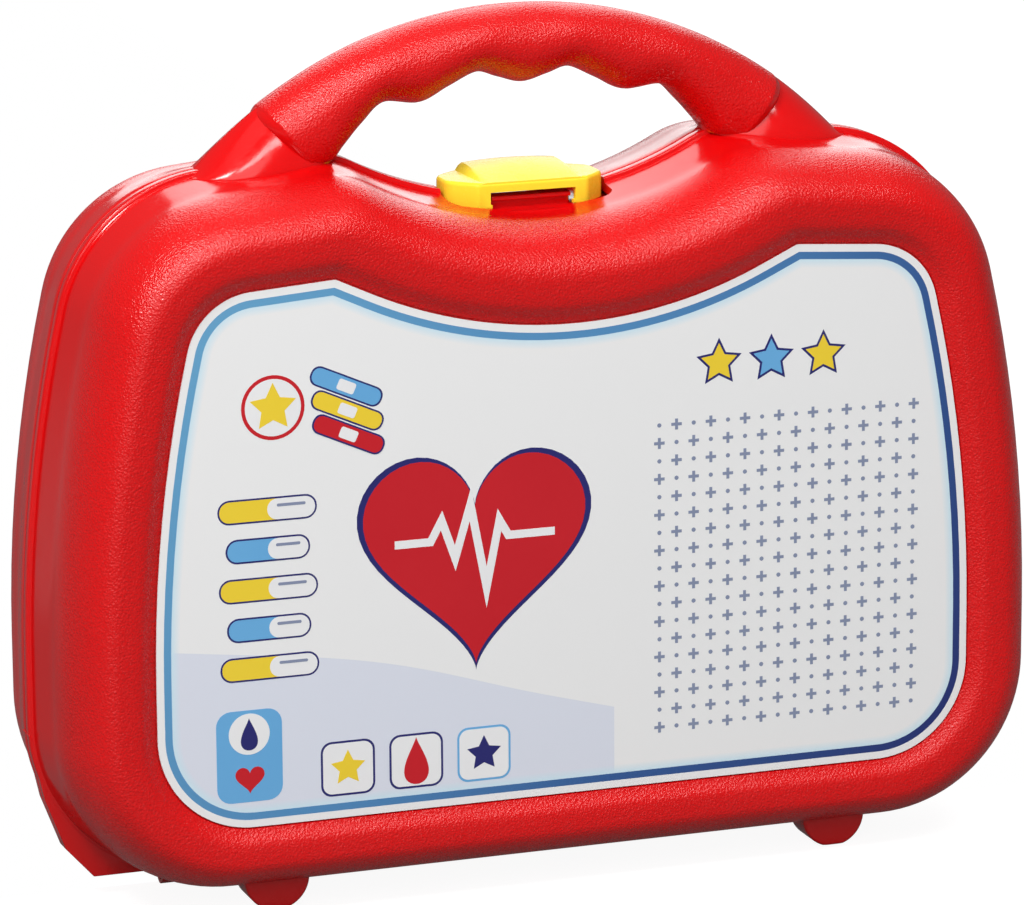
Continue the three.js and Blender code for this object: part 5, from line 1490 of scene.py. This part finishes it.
def bulb_well():
    ends = [along(*BULB, distance) for distance in BULB_WELL_SPAN]
    return slot_well(*ends, BULB_RADIUS, BULB_DEPTH + BULB_RADIUS * BULB_FLAT)


def hoop(mesh, centre, radius, thick, sides=20, steps=48):
    """A round ring that lies flat behind the seam."""
    start = Vector((centre.x + radius, centre.y, centre.z))
    angles = [2 * pi * side / sides for side in range(sides)]
    ring = [mesh.verts.new(start + Vector((cos(angle), sin(angle), 0)) * thick) for angle in angles]
    edges = [mesh.edges.new((ring[i - 1], ring[i])) for i in range(sides)]
    bmesh.ops.spin(
        mesh, geom=[*ring, *edges], cent=centre, axis=OUTWARDS, angle=2 * pi, steps=steps,
        use_merge=True)
    bmesh.ops.remove_doubles(mesh, verts=mesh.verts, dist=TINY)
    bmesh.ops.recalc_face_normals(mesh, faces=mesh.faces)


def syringe():
    """The barrel with its bore, and the cross bar with its two finger rings."""
    barrel = drawn(turned, profile_of("syringe_barrel"), *SYRINGE)
    bore = drawn(turned, profile_of("syringe_bore"), *SYRINGE)
    places = ring_places()
    outline = band_outline(places, BAR_WIDTH / 4)
    bar = drawn(slab, outline, INSTRUMENT_DEPTH - BAR_WIDTH / 2, INSTRUMENT_DEPTH + BAR_WIDTH / 2)
    bmesh.ops.bevel(
        bar, geom=bar.edges, offset=BAR_EDGE, segments=3, profile=0.5, affect="EDGES", material=-1)
    holes, hoops = [], []
    for place in places:
        ends = (place.x, 0, place.y), (place.x, RING_HOLE_DEPTH, place.y)
        holes.append(drawn(rod, *ends, RING_RADIUS - RING_OVERLAP))
        centre = Vector((place.x, INSTRUMENT_DEPTH, place.y))
        hoops.append(drawn(hoop, centre, RING_RADIUS, RING_TUBE))
    mesh = carved(barrel, bore, added=[carved(bar, *holes), *hoops])
    for_node("syringe_barrel", mesh, RED_TOY, "lid")


# Print on the pack, in places on it
PACK_HEART = (0, 6, 13)
PACK_LINES = (-17, -13.5)
PACK_LINE_REACH = 9
PACK_LINE_HALF = 0.8
PACK_PRINT_SINK = 0.5


def plaster_pack():
    """A soft white pack with a red heart and two blue lines on it."""
    low, high = INSTRUMENT_DEPTH - PACK_SIZE[2] / 2, INSTRUMENT_DEPTH + PACK_SIZE[2] / 2
    levels = [(grow, low + rise) for grow, rise in PACK_CUSHION]
    levels += [(grow, high - rise) for grow, rise in reversed(PACK_CUSHION)]
    rings = [[Vector((x, y, z)) for x, z in pack_outline(grow)] for grow, y in levels]
    for_node("plaster_pack", drawn(loft, rings), WHITE, "lid")
    spin = Matrix.Rotation(radians(-PACK_TURN), 2)
    lines = [
        band_outline([(-PACK_LINE_REACH, lift), (PACK_LINE_REACH, lift)], PACK_LINE_HALF)
        for lift in PACK_LINES]
    for word, outlines, colour in (
            ("heart", [heart_outline(*PACK_HEART)], RED_TOY), ("lines", lines, BLUE)):
        mesh = bmesh.new()
        for outline in outlines:
            placed = [PACK_PLACE + spin @ Vector(point) for point in outline]
            slab(mesh, placed, low - PRINT_RISE, low + PACK_PRINT_SINK)
        finished(f"plaster_pack_{word}", mesh, colour, "lid")


def thermometer():
    instrument(
        "thermometer_body", RED_TOY, "red", (profile_of("thermometer_body"), THERMOMETER),
        flat=THERMOMETER_FLAT, edge=SOFT_ROUND)
    face = INSTRUMENT_DEPTH - THERMOMETER_RADIUS * THERMOMETER_FLAT
    ends = [along(*THERMOMETER, distance) for distance in SCALE_SPAN]
    mesh = drawn(slab, slot_outline(*ends, SCALE_RADIUS), face - SCALE_RISE, face + SCALE_SINK)
    finished("thermometer_scale", mesh, WHITE, "lid")
    tick_marks("thermometer_marks", THERMOMETER, (74, 106), 17, 4.4, face - SCALE_MARK_RISE, DARK_GREY)
    instrument("thermometer_tip", WHITE, "white", (profile_of("thermometer_tip"), THERMOMETER))


def lid_instruments():
    thermometer()
    instrument("otoscope_handle", RED_TOY, "red", (profile_of("otoscope_handle"), OTOSCOPE))
    instrument(
        "otoscope_head", GREY, "grey",
        (profile_of("otoscope_neck"), OTOSCOPE), (profile_of("otoscope_cone"), OTOSCOPE_HEAD))
    instrument("probe", WHITE, "white", (profile_of("probe"), PROBE))
    turns = [pi * step / CAP_STEPS for step in range(1, CAP_STEPS)]
    ball = [(CAP_RADIUS * sin(turn), CAP_MIDDLE - CAP_RADIUS * cos(turn)) for turn in turns]
    instrument("probe_cap", GREEN, "green", (ball, PROBE))
    instrument("hammer_handle", RED_TOY, "red", (profile_of("hammer_handle"), HAMMER))
    instrument(
        "hammer_head", GREY, "grey",
        (profile_of("hammer_neck"), HAMMER), (profile_of("hammer_block"), HAMMER_HEAD))
    syringe()
    instrument(
        "syringe_plunger", CLEAR, "clear", (profile_of("syringe_plunger"), SYRINGE), body="plunger")
    face = INSTRUMENT_DEPTH - BARREL_RADIUS
    tick_marks("syringe_marks", SYRINGE, (32, 72), 11, 5, face - PRINT_RISE, WHITE)
    plaster_pack()


# Stethoscope, scissors and forceps in the base tray: shares of the half width and height, and the
# rise of a tube over the deck in radii

DECK_TOP = 19.7
TUBE_RADIUS = 3
TUBE_SIDES = 28
CONNECTOR_RADIUS = 4.8
CONNECTOR_DEPTH = 14.9
CONNECTOR_ROUND = 0.5
CONNECTOR_GROOVE = [(0, 3.4), (0.4, 2.8), (0.4, 2.2), (0, 1.6), (0, 0)]
SOCKET_DEPTH = 5
SOFT_TIP_ROUND = 2
BULB_ROUND = 5
HOSE_SHARES = [
    (-0.1281, 0.2722, 0.6), (-0.0144, 0.2424, 0.333), (0.1439, 0.2141, 0), (0.3813, 0.2091, 0),
    (0.6043, 0.2323, 0), (0.7626, 0.303, 0), (0.8388, 0.4444, 0), (0.8345, 0.5859, 0),
    (0.7626, 0.6919, 0), (0.6547, 0.7394, 0.5), (0.5856, 0.7525, 0.6),
]
LEFT_TUBE_SHARES = [
    (-0.236, 0.2672, 0.6), (-0.3165, 0.2303, 0.333), (-0.4317, 0.2121, 0), (-0.5468, 0.2424, 0.4),
    (-0.6101, 0.3101, 1.1), (-0.6245, 0.3444, 1.1),
]
RIGHT_TUBE_SHARES = [
    (-0.1396, 0.3157, 0.6), (-0.0288, 0.3788, 0.267), (0.1007, 0.4646, 0), (0.2014, 0.5657, 0),
    (0.2302, 0.6768, 0), (0.1799, 0.7727, 0), (0.0288, 0.8182, 0), (-0.2014, 0.8364, 0),
    (-0.5036, 0.8606, 0), (-0.705, 0.8283, 0), (-0.8058, 0.7374, 0.4), (-0.7957, 0.6313, 1.1),
    (-0.7813, 0.598, 1.1),
]


def curve_point(points, share):
    """A point on the even-speed curve through points, at a share of its way."""
    place = (len(points) - 1) * share
    i = min(int(place), len(points) - 2)
    b, c = points[i], points[i + 1]
    a = points[i - 1] if i else 2 * b - c
    d = points[i + 2] if i + 2 < len(points) else 2 * c - b
    before, own, after = ((q - p).length ** 0.5 for p, q in ((a, b), (b, c), (c, d)))
    v0 = ((b - a) / before - (c - a) / (before + own) + (c - b) / own) * own
    v1 = ((c - b) / own - (d - b) / (own + after) + (d - c) / after) * own
    return cubic(b, c, v0, v1, place - i)


def tube_line(shares, steps):
    points = []
    for x_share, z_share, rise in shares:
        x, z = place_at(x_share, z_share)
        points.append(Vector((x, -(DECK_TOP - (1 + rise) * TUBE_RADIUS), z)))
    return [curve_point(points, step / steps) for step in range(steps + 1)]


HOSE_LINE = tube_line(HOSE_SHARES, 160)
LEFT_LINE = tube_line(LEFT_TUBE_SHARES, 80)
RIGHT_LINE = tube_line(RIGHT_TUBE_SHARES, 180)
CHEST_PLACE = place_at(0.4173, 0.7576)
CONNECTOR_PLACE = place_at(-0.1849, 0.2838)
CONNECTOR_ARMS = [place_at(-0.1036, 0.2672), place_at(-0.2619, 0.2586), place_at(-0.1209, 0.3288)]


def on_deck(place, depth=DECK_TOP):
    return Vector((place.x, -depth, place.y))


def tube_rings(line, radius, sides):
    """Round rings square to a line of points, each turned as little as possible from the last."""
    rings = []
    normal = None
    for before, centre, after in zip([line[0], *line], line, [*line[1:], line[-1]]):
        way = (after - before).normalized()
        if normal is None:
            normal = way.orthogonal().normalized()
        normal = (normal - way * normal.dot(way)).normalized()
        other = way.cross(normal)
        angles = [2 * pi * side / sides for side in range(sides)]
        rings.append([centre + (normal * cos(angle) + other * sin(angle)) * radius for angle in angles])
    return rings


def connector():
    """The three-armed joint of the tubes, each arm with a groove before its mouth."""
    centre = on_deck(CONNECTOR_PLACE, CONNECTOR_DEPTH)
    core = bmesh.new()
    bmesh.ops.create_uvsphere(
        core, u_segments=40, v_segments=20, radius=CONNECTOR_RADIUS, matrix=Matrix.Translation(centre))
    arms = []
    for arm in CONNECTOR_ARMS:
        way = on_deck(arm, CONNECTOR_DEPTH) - centre
        mouth = [(CONNECTOR_RADIUS - dip, way.length - back) for dip, back in CONNECTOR_GROOVE]
        arms.append(drawn(turned_on, [(CONNECTOR_RADIUS, 0), *mouth], centre, way, CONNECTOR_ROUND))
    for_node("stethoscope_connector", carved(core, added=arms), GREY, "base")


# Chest piece: disc, hose stem, three lugs and the diaphragm that it stands on
CHEST_RADIUS = 18.5
CHEST_LIFT = 1.5
CHEST_PROFILE = [
    (17, 0), (CHEST_RADIUS, 1.4), (CHEST_RADIUS, 6.4), (17.4, 7), (17.4, 7.6), (14.6, 8.8), (11, 9.6),
    (10.6, 9.2), (8.6, 9.2), (8.2, 10.4),
]
CHEST_ROUND = 0.5
CHEST_STEM_SINK = 1.7
CHEST_LUG_TURNS = (0.22, 0.52, 0.82)
CHEST_LUG_REACH = 16.4
CHEST_LUG = [(3.4, 0), (3.4, 8)]
CHEST_LUG_ROUND = 1
DIAPHRAGM = [(16, 0), (16, 1.2)]
DIAPHRAGM_ROUND = 0.4


def chest_piece():
    foot = on_deck(CHEST_PLACE, DECK_TOP - CHEST_LIFT)
    disc = drawn(turned_on, CHEST_PROFILE, foot, OUTWARDS, CHEST_ROUND)
    end = HOSE_LINE[-1]
    reach = (Vector((end.x, end.z)) - CHEST_PLACE).length - CHEST_RADIUS + CHEST_STEM_SINK
    sleeve = [(CONNECTOR_RADIUS, -SOCKET_DEPTH), (CONNECTOR_RADIUS, reach)]
    stem = drawn(turned_on, sleeve, end, end - HOSE_LINE[-4])
    lugs = []
    for share in CHEST_LUG_TURNS:
        angle = 2 * pi * share
        place = foot + Vector((CHEST_LUG_REACH * cos(angle), 0, CHEST_LUG_REACH * sin(angle)))
        lugs.append(drawn(turned_on, CHEST_LUG, place, OUTWARDS, CHEST_LUG_ROUND))
    for_node("chest_piece", carved(disc, added=[stem, *lugs]), RED_TOY, "base")
    mesh = drawn(turned_on, DIAPHRAGM, on_deck(CHEST_PLACE), OUTWARDS, DIAPHRAGM_ROUND)
    for_node("chest_diaphragm", mesh, WHITE, "base")


def stethoscope():
    for name, line, material, slot in (
            ("stethoscope_hose", HOSE_LINE, BLUE, "blue"),
            ("ear_tube_left", LEFT_LINE, RED_TOY, "red"),
            ("ear_tube_right", RIGHT_LINE, RED_TOY, "red")):
        mesh = drawn(loft, tube_rings(line, TUBE_RADIUS, TUBE_SIDES))
        for_node(name, mesh, material, "base")
    connector()
    for side, line in (("left", LEFT_LINE), ("right", RIGHT_LINE)):
        way = line[-1] - line[-3]
        mesh = drawn(turned_on, profile_of("ear_tip"), line[-1], way, SOFT_TIP_ROUND)
        for_node(f"ear_tip_{side}", mesh, YELLOW, "base")
    chest_piece()
    mesh = drawn(
        turned, profile_of("bulb"), *BULB, depth=-BULB_DEPTH, flat=BULB_FLAT, edge=BULB_ROUND)
    for_node("bulb", mesh, RED_TOY, "base")


# Scissors and forceps: two layers of plates on a pivot, the upper half of each on its own body

LAYER = 4.4
LAYER_GAP = 0.3
LOWER_LAYER = DECK_TOP - LAYER
UPPER_LAYER = LOWER_LAYER - LAYER_GAP - LAYER
LOOP_RADIUS = 10.6
LOOP_HOLE = 6.6
LOOP_STEPS = 28
ARM_HALF = 3.5
ARM_STEPS = 16
HUB_STEPS = 24
PIVOT_RADIUS = 6
PIVOT_HOLE = 2.3
HANDLE_EDGE = 0.7
BLADE_EDGE = 0.35
TOOL_EDGE_ANGLE = 40
PIN_RADIUS = 2
PIN_HEAD = 3.6
PIN_HEAD_HEIGHT = 1
PIN_ROUND = 0.4
BLADE_SHARES = [(0, -0.5), (0.82, -0.42), (1, 0.1), (0.86, 0.24), (0, 0.24)]
JAW_SHARES = [
    (0, -0.4), (0.9, -0.16), (1, 0), (0.94, 0.1), (0.88, 0), (0.82, 0.12), (0.76, 0.02), (0.7, 0.14),
    (0.64, 0.04), (0.58, 0.16), (0.52, 0.06), (0.46, 0.2), (0, 0.4),
]

# Pivot, tip, place and stretch of the upper and the lower loop, and name, width and shares of the end
TOOLS = {
    "scissors": (
        place_at(-0.2302, 0.6616), place_at(0.1439, 0.6798),
        [(place_at(-0.4676, 0.598), 0.3), (place_at(-0.5223, 0.7273), 7)], "blade", 8.4, BLADE_SHARES),
    "forceps": (
        place_at(0.3165, 0.3939), place_at(0.1079, 0.3061),
        [(place_at(0.6475, 0.4646), 0.3), (place_at(0.5036, 0.5707), 0.3)], "jaw", 9, JAW_SHARES),
}


def layer_plate(outline, layer, spare=0):
    return drawn(slab, outline, -(layer - spare), -(layer + LAYER + spare))


def circle(place, radius):
    return slot_outline(place, place + Vector((TINY, 0)), radius, HUB_STEPS)


def tool_handle(layer, pivot, loop, stretch):
    """A finger loop, its arm and its hub, with the holes of the loop and the pin."""
    far = along(pivot, loop, (loop - pivot).length + stretch)
    return carved(
        layer_plate(slot_outline(loop, far, LOOP_RADIUS, LOOP_STEPS), layer),
        layer_plate(slot_outline(loop, far, LOOP_HOLE, LOOP_STEPS), layer, OVERRUN),
        layer_plate(circle(pivot, PIVOT_HOLE), layer, OVERRUN),
        added=[
            layer_plate(slot_outline(pivot, loop, ARM_HALF, ARM_STEPS), layer),
            layer_plate(circle(pivot, PIVOT_RADIUS), layer),
        ])


def tool_end(layer, pivot, tip, side, width, shares):
    """A blade or a jaw, cut clear of its handle's hub."""
    length = (tip - pivot).length
    ahead = (tip - pivot).normalized()
    square = Vector((-ahead.y, ahead.x))
    outline = [pivot + ahead * a * length + square * b * side * width for a, b in shares]
    hub = layer_plate(circle(pivot, PIVOT_RADIUS + LAYER_GAP), layer, OVERRUN)
    return carved(layer_plate(outline, layer), hub)


def hand_tools():
    for name, (pivot, tip, loops, end_word, width, shares) in TOOLS.items():
        for word, body, layer, side, (loop, stretch) in (
                ("upper", f"{name}_half", UPPER_LAYER, 1, loops[0]),
                ("lower", "base", LOWER_LAYER, -1, loops[1])):
            mesh = tool_handle(layer, pivot, loop, stretch)
            piece = for_node(f"{name}_handle_{word}", mesh, RED_TOY, body)
            beveled(piece, HANDLE_EDGE, 3, TOOL_EDGE_ANGLE)
            mesh = tool_end(layer, pivot, tip, side, width, shares)
            piece = for_node(f"{name}_{end_word}_{word}", mesh, GREY, body)
            beveled(piece, BLADE_EDGE, 2, TOOL_EDGE_ANGLE)
        top = DECK_TOP - UPPER_LAYER + LAYER_GAP
        pin = [(PIN_RADIUS, 0), (PIN_RADIUS, top), (PIN_HEAD, top), (PIN_HEAD, top + PIN_HEAD_HEIGHT)]
        mesh = drawn(turned_on, pin, on_deck(pivot), OUTWARDS, PIN_ROUND)
        for_node(f"{name}_pivot", mesh, DARK_GREY, "base")


PEG_PROFILE = [(1.6, -TRAY_SHEET / 2), (1.6, 5.6)]
PEG_ROUND = 0.6
PEG_SIDES = 24
PEGS = [(HOSE_LINE, (0.18, 0.4, 0.68)), (LEFT_LINE, (0.4,)), (RIGHT_LINE, (0.16, 0.48, 0.66))]


def at_distance(line, share):
    """The point and the way at a share of a line's length."""
    reach = share * sum((b - a).length for a, b in zip(line, line[1:]))
    for a, b in zip(line, line[1:]):
        step = (b - a).length
        if reach <= step:
            return a.lerp(b, reach / step), (b - a).normalized()
        reach -= step
    return line[-1], (line[-1] - line[-2]).normalized()


def pegs(mesh):
    """Pairs of pegs that stand beside the tubes on the deck."""
    reach = TUBE_RADIUS + CLEARANCE + PEG_PROFILE[0][0]
    for line, shares in PEGS:
        for share in shares:
            place, way = at_distance(line, share)
            for side in (-1, 1):
                spot = Vector((place.x - side * reach * way.z, place.z + side * reach * way.x))
                turned_on(mesh, PEG_PROFILE, on_deck(spot, BASE_DECK), OUTWARDS, PEG_ROUND, PEG_SIDES)


def trays():
    for name, body, deck, wells, way in (
            ("lid_tray", "lid", LID_DECK, lid_wells(), 1),
            ("base_tray", "base", BASE_DECK, [bulb_well()], -1)):
        for_node(name, drawn(tray, deck, wells, way), WHITE_TRAY, body)
    finished("base_tray_pegs", drawn(pegs), WHITE_TRAY, "base")


trays()
lid_instruments()
stethoscope()
hand_tools()


# Floor, backdrop and light, in metres

FLOOR_REACH = 9
NOTCH_HALF = 0.3
NOTCH_FRONT = 0.004
FLOOR_GREY = 0.16
FLOOR_GLOW = 0.93
FLOOR_MIRRORED_SHARE = 0.1
WORLD_LIGHT = 0.3
LAMP_AIM = (0, 0, 0.11)

# Name, place, width, height and power of each lamp
LAMPS = [
    ("key", (-0.9, -0.58, 1.3), 0.34, 0.34, 12.5),
    ("brow", (-0.05, -0.8, 1.3), 1.1, 0.2, 8.4),
    ("overhead", (0, 0.1, 1.8), 2, 1, 2.4),
    ("front", (-0.7, -1.7, 1.1), 1.5, 1.5, 14.3),
    ("back", (0.5, 1.6, 0.9), 1.2, 1.2, 9),
]


def chosen(tree, choice, first, second, end):
    """Shows the first shader, or the second where the choice is 1."""
    made = node(tree, "ShaderNodeMixShader", Fac=choice)
    tree.links.new(first.outputs[0], made.inputs[1])
    tree.links.new(second.outputs[0], made.inputs[2])
    tree.links.new(made.outputs[0], tree.nodes[end].inputs["Surface"])


def floor_material():
    """Grey to the lamps, and white to the camera, through clear plastic and faintly in reflections."""
    material, tree, shader = new_material("pale floor")
    shader.inputs["Base Color"].default_value = (FLOOR_GREY, FLOOR_GREY, FLOOR_GREY, 1)
    shader.inputs["Roughness"].default_value = 0.7
    shader.inputs["Specular IOR Level"].default_value = 0.1
    ray = node(tree, "ShaderNodeLightPath").outputs
    mirrored_share = maths(tree, "MULTIPLY", ray["Is Glossy Ray"], FLOOR_MIRRORED_SHARE)
    seen = maths(tree, "MAXIMUM", ray["Is Camera Ray"], mirrored_share)
    seen = maths(tree, "MAXIMUM", seen, ray["Is Transmission Ray"])
    glow = node(tree, "ShaderNodeEmission", Color=(1, 1, 1, 1), Strength=FLOOR_GLOW)
    lit = node(tree, "ShaderNodeAddShader")
    tree.links.new(shader.outputs[0], lit.inputs[0])
    tree.links.new(glow.outputs[0], lit.inputs[1])
    chosen(tree, seen, shader, lit, "Material Output")
    return material


def floor():
    """A table top with a notch behind the hinge, where the lid swings down."""
    mesh = bmesh.new()
    for low, high in (
            ((-FLOOR_REACH, -FLOOR_REACH), (FLOOR_REACH, NOTCH_FRONT)),
            ((-FLOOR_REACH, NOTCH_FRONT), (-NOTCH_HALF, FLOOR_REACH)),
            ((NOTCH_HALF, NOTCH_FRONT), (FLOOR_REACH, FLOOR_REACH))):
        low, high = Vector((*low, 0)), Vector((*high, 0))
        sheet = bmesh.ops.create_grid(mesh, x_segments=1, y_segments=1, size=0.5)["verts"]
        bmesh.ops.scale(mesh, vec=high - low, verts=sheet)
        bmesh.ops.translate(mesh, vec=(low + high) / 2, verts=sheet)
    data = bpy.data.meshes.new("floor")
    mesh.to_mesh(data)
    mesh.free()
    data.materials.append(floor_material())
    ground = bpy.data.objects.new("floor", data)
    bpy.context.scene.collection.objects.link(ground)


def backdrop():
    """White to the camera and through clear plastic, dimmer to surfaces, half of that mirrored."""
    world = bpy.data.worlds.new("studio")
    world.use_nodes = True
    tree = world.node_tree
    ray = node(tree, "ShaderNodeLightPath").outputs
    plain = tree.nodes["Background"]
    plain.inputs["Color"].default_value = (1, 1, 1, 1)
    dimmed = ranged(tree, ray["Is Glossy Ray"], 0, 1, WORLD_LIGHT, WORLD_LIGHT / 2)
    tree.links.new(dimmed, plain.inputs["Strength"])
    bright = node(tree, "ShaderNodeBackground", Color=(1, 1, 1, 1), Strength=1)
    seen = maths(tree, "MAXIMUM", ray["Is Camera Ray"], ray["Is Transmission Ray"])
    chosen(tree, seen, plain, bright, "World Output")
    bpy.context.scene.world = world


def lamps():
    for name, place, width, height, power in LAMPS:
        data = bpy.data.lights.new(name, "AREA")
        data.shape = "RECTANGLE"
        data.size = width
        data.size_y = height
        data.energy = power
        lamp = bpy.data.objects.new(name, data)
        lamp.location = place
        lamp.rotation_euler = (Vector(LAMP_AIM) - Vector(place)).to_track_quat("-Z", "Y").to_euler()
        bpy.context.scene.collection.objects.link(lamp)


floor()
backdrop()
lamps()
bpy.context.scene.view_settings.view_transform = "Standard"
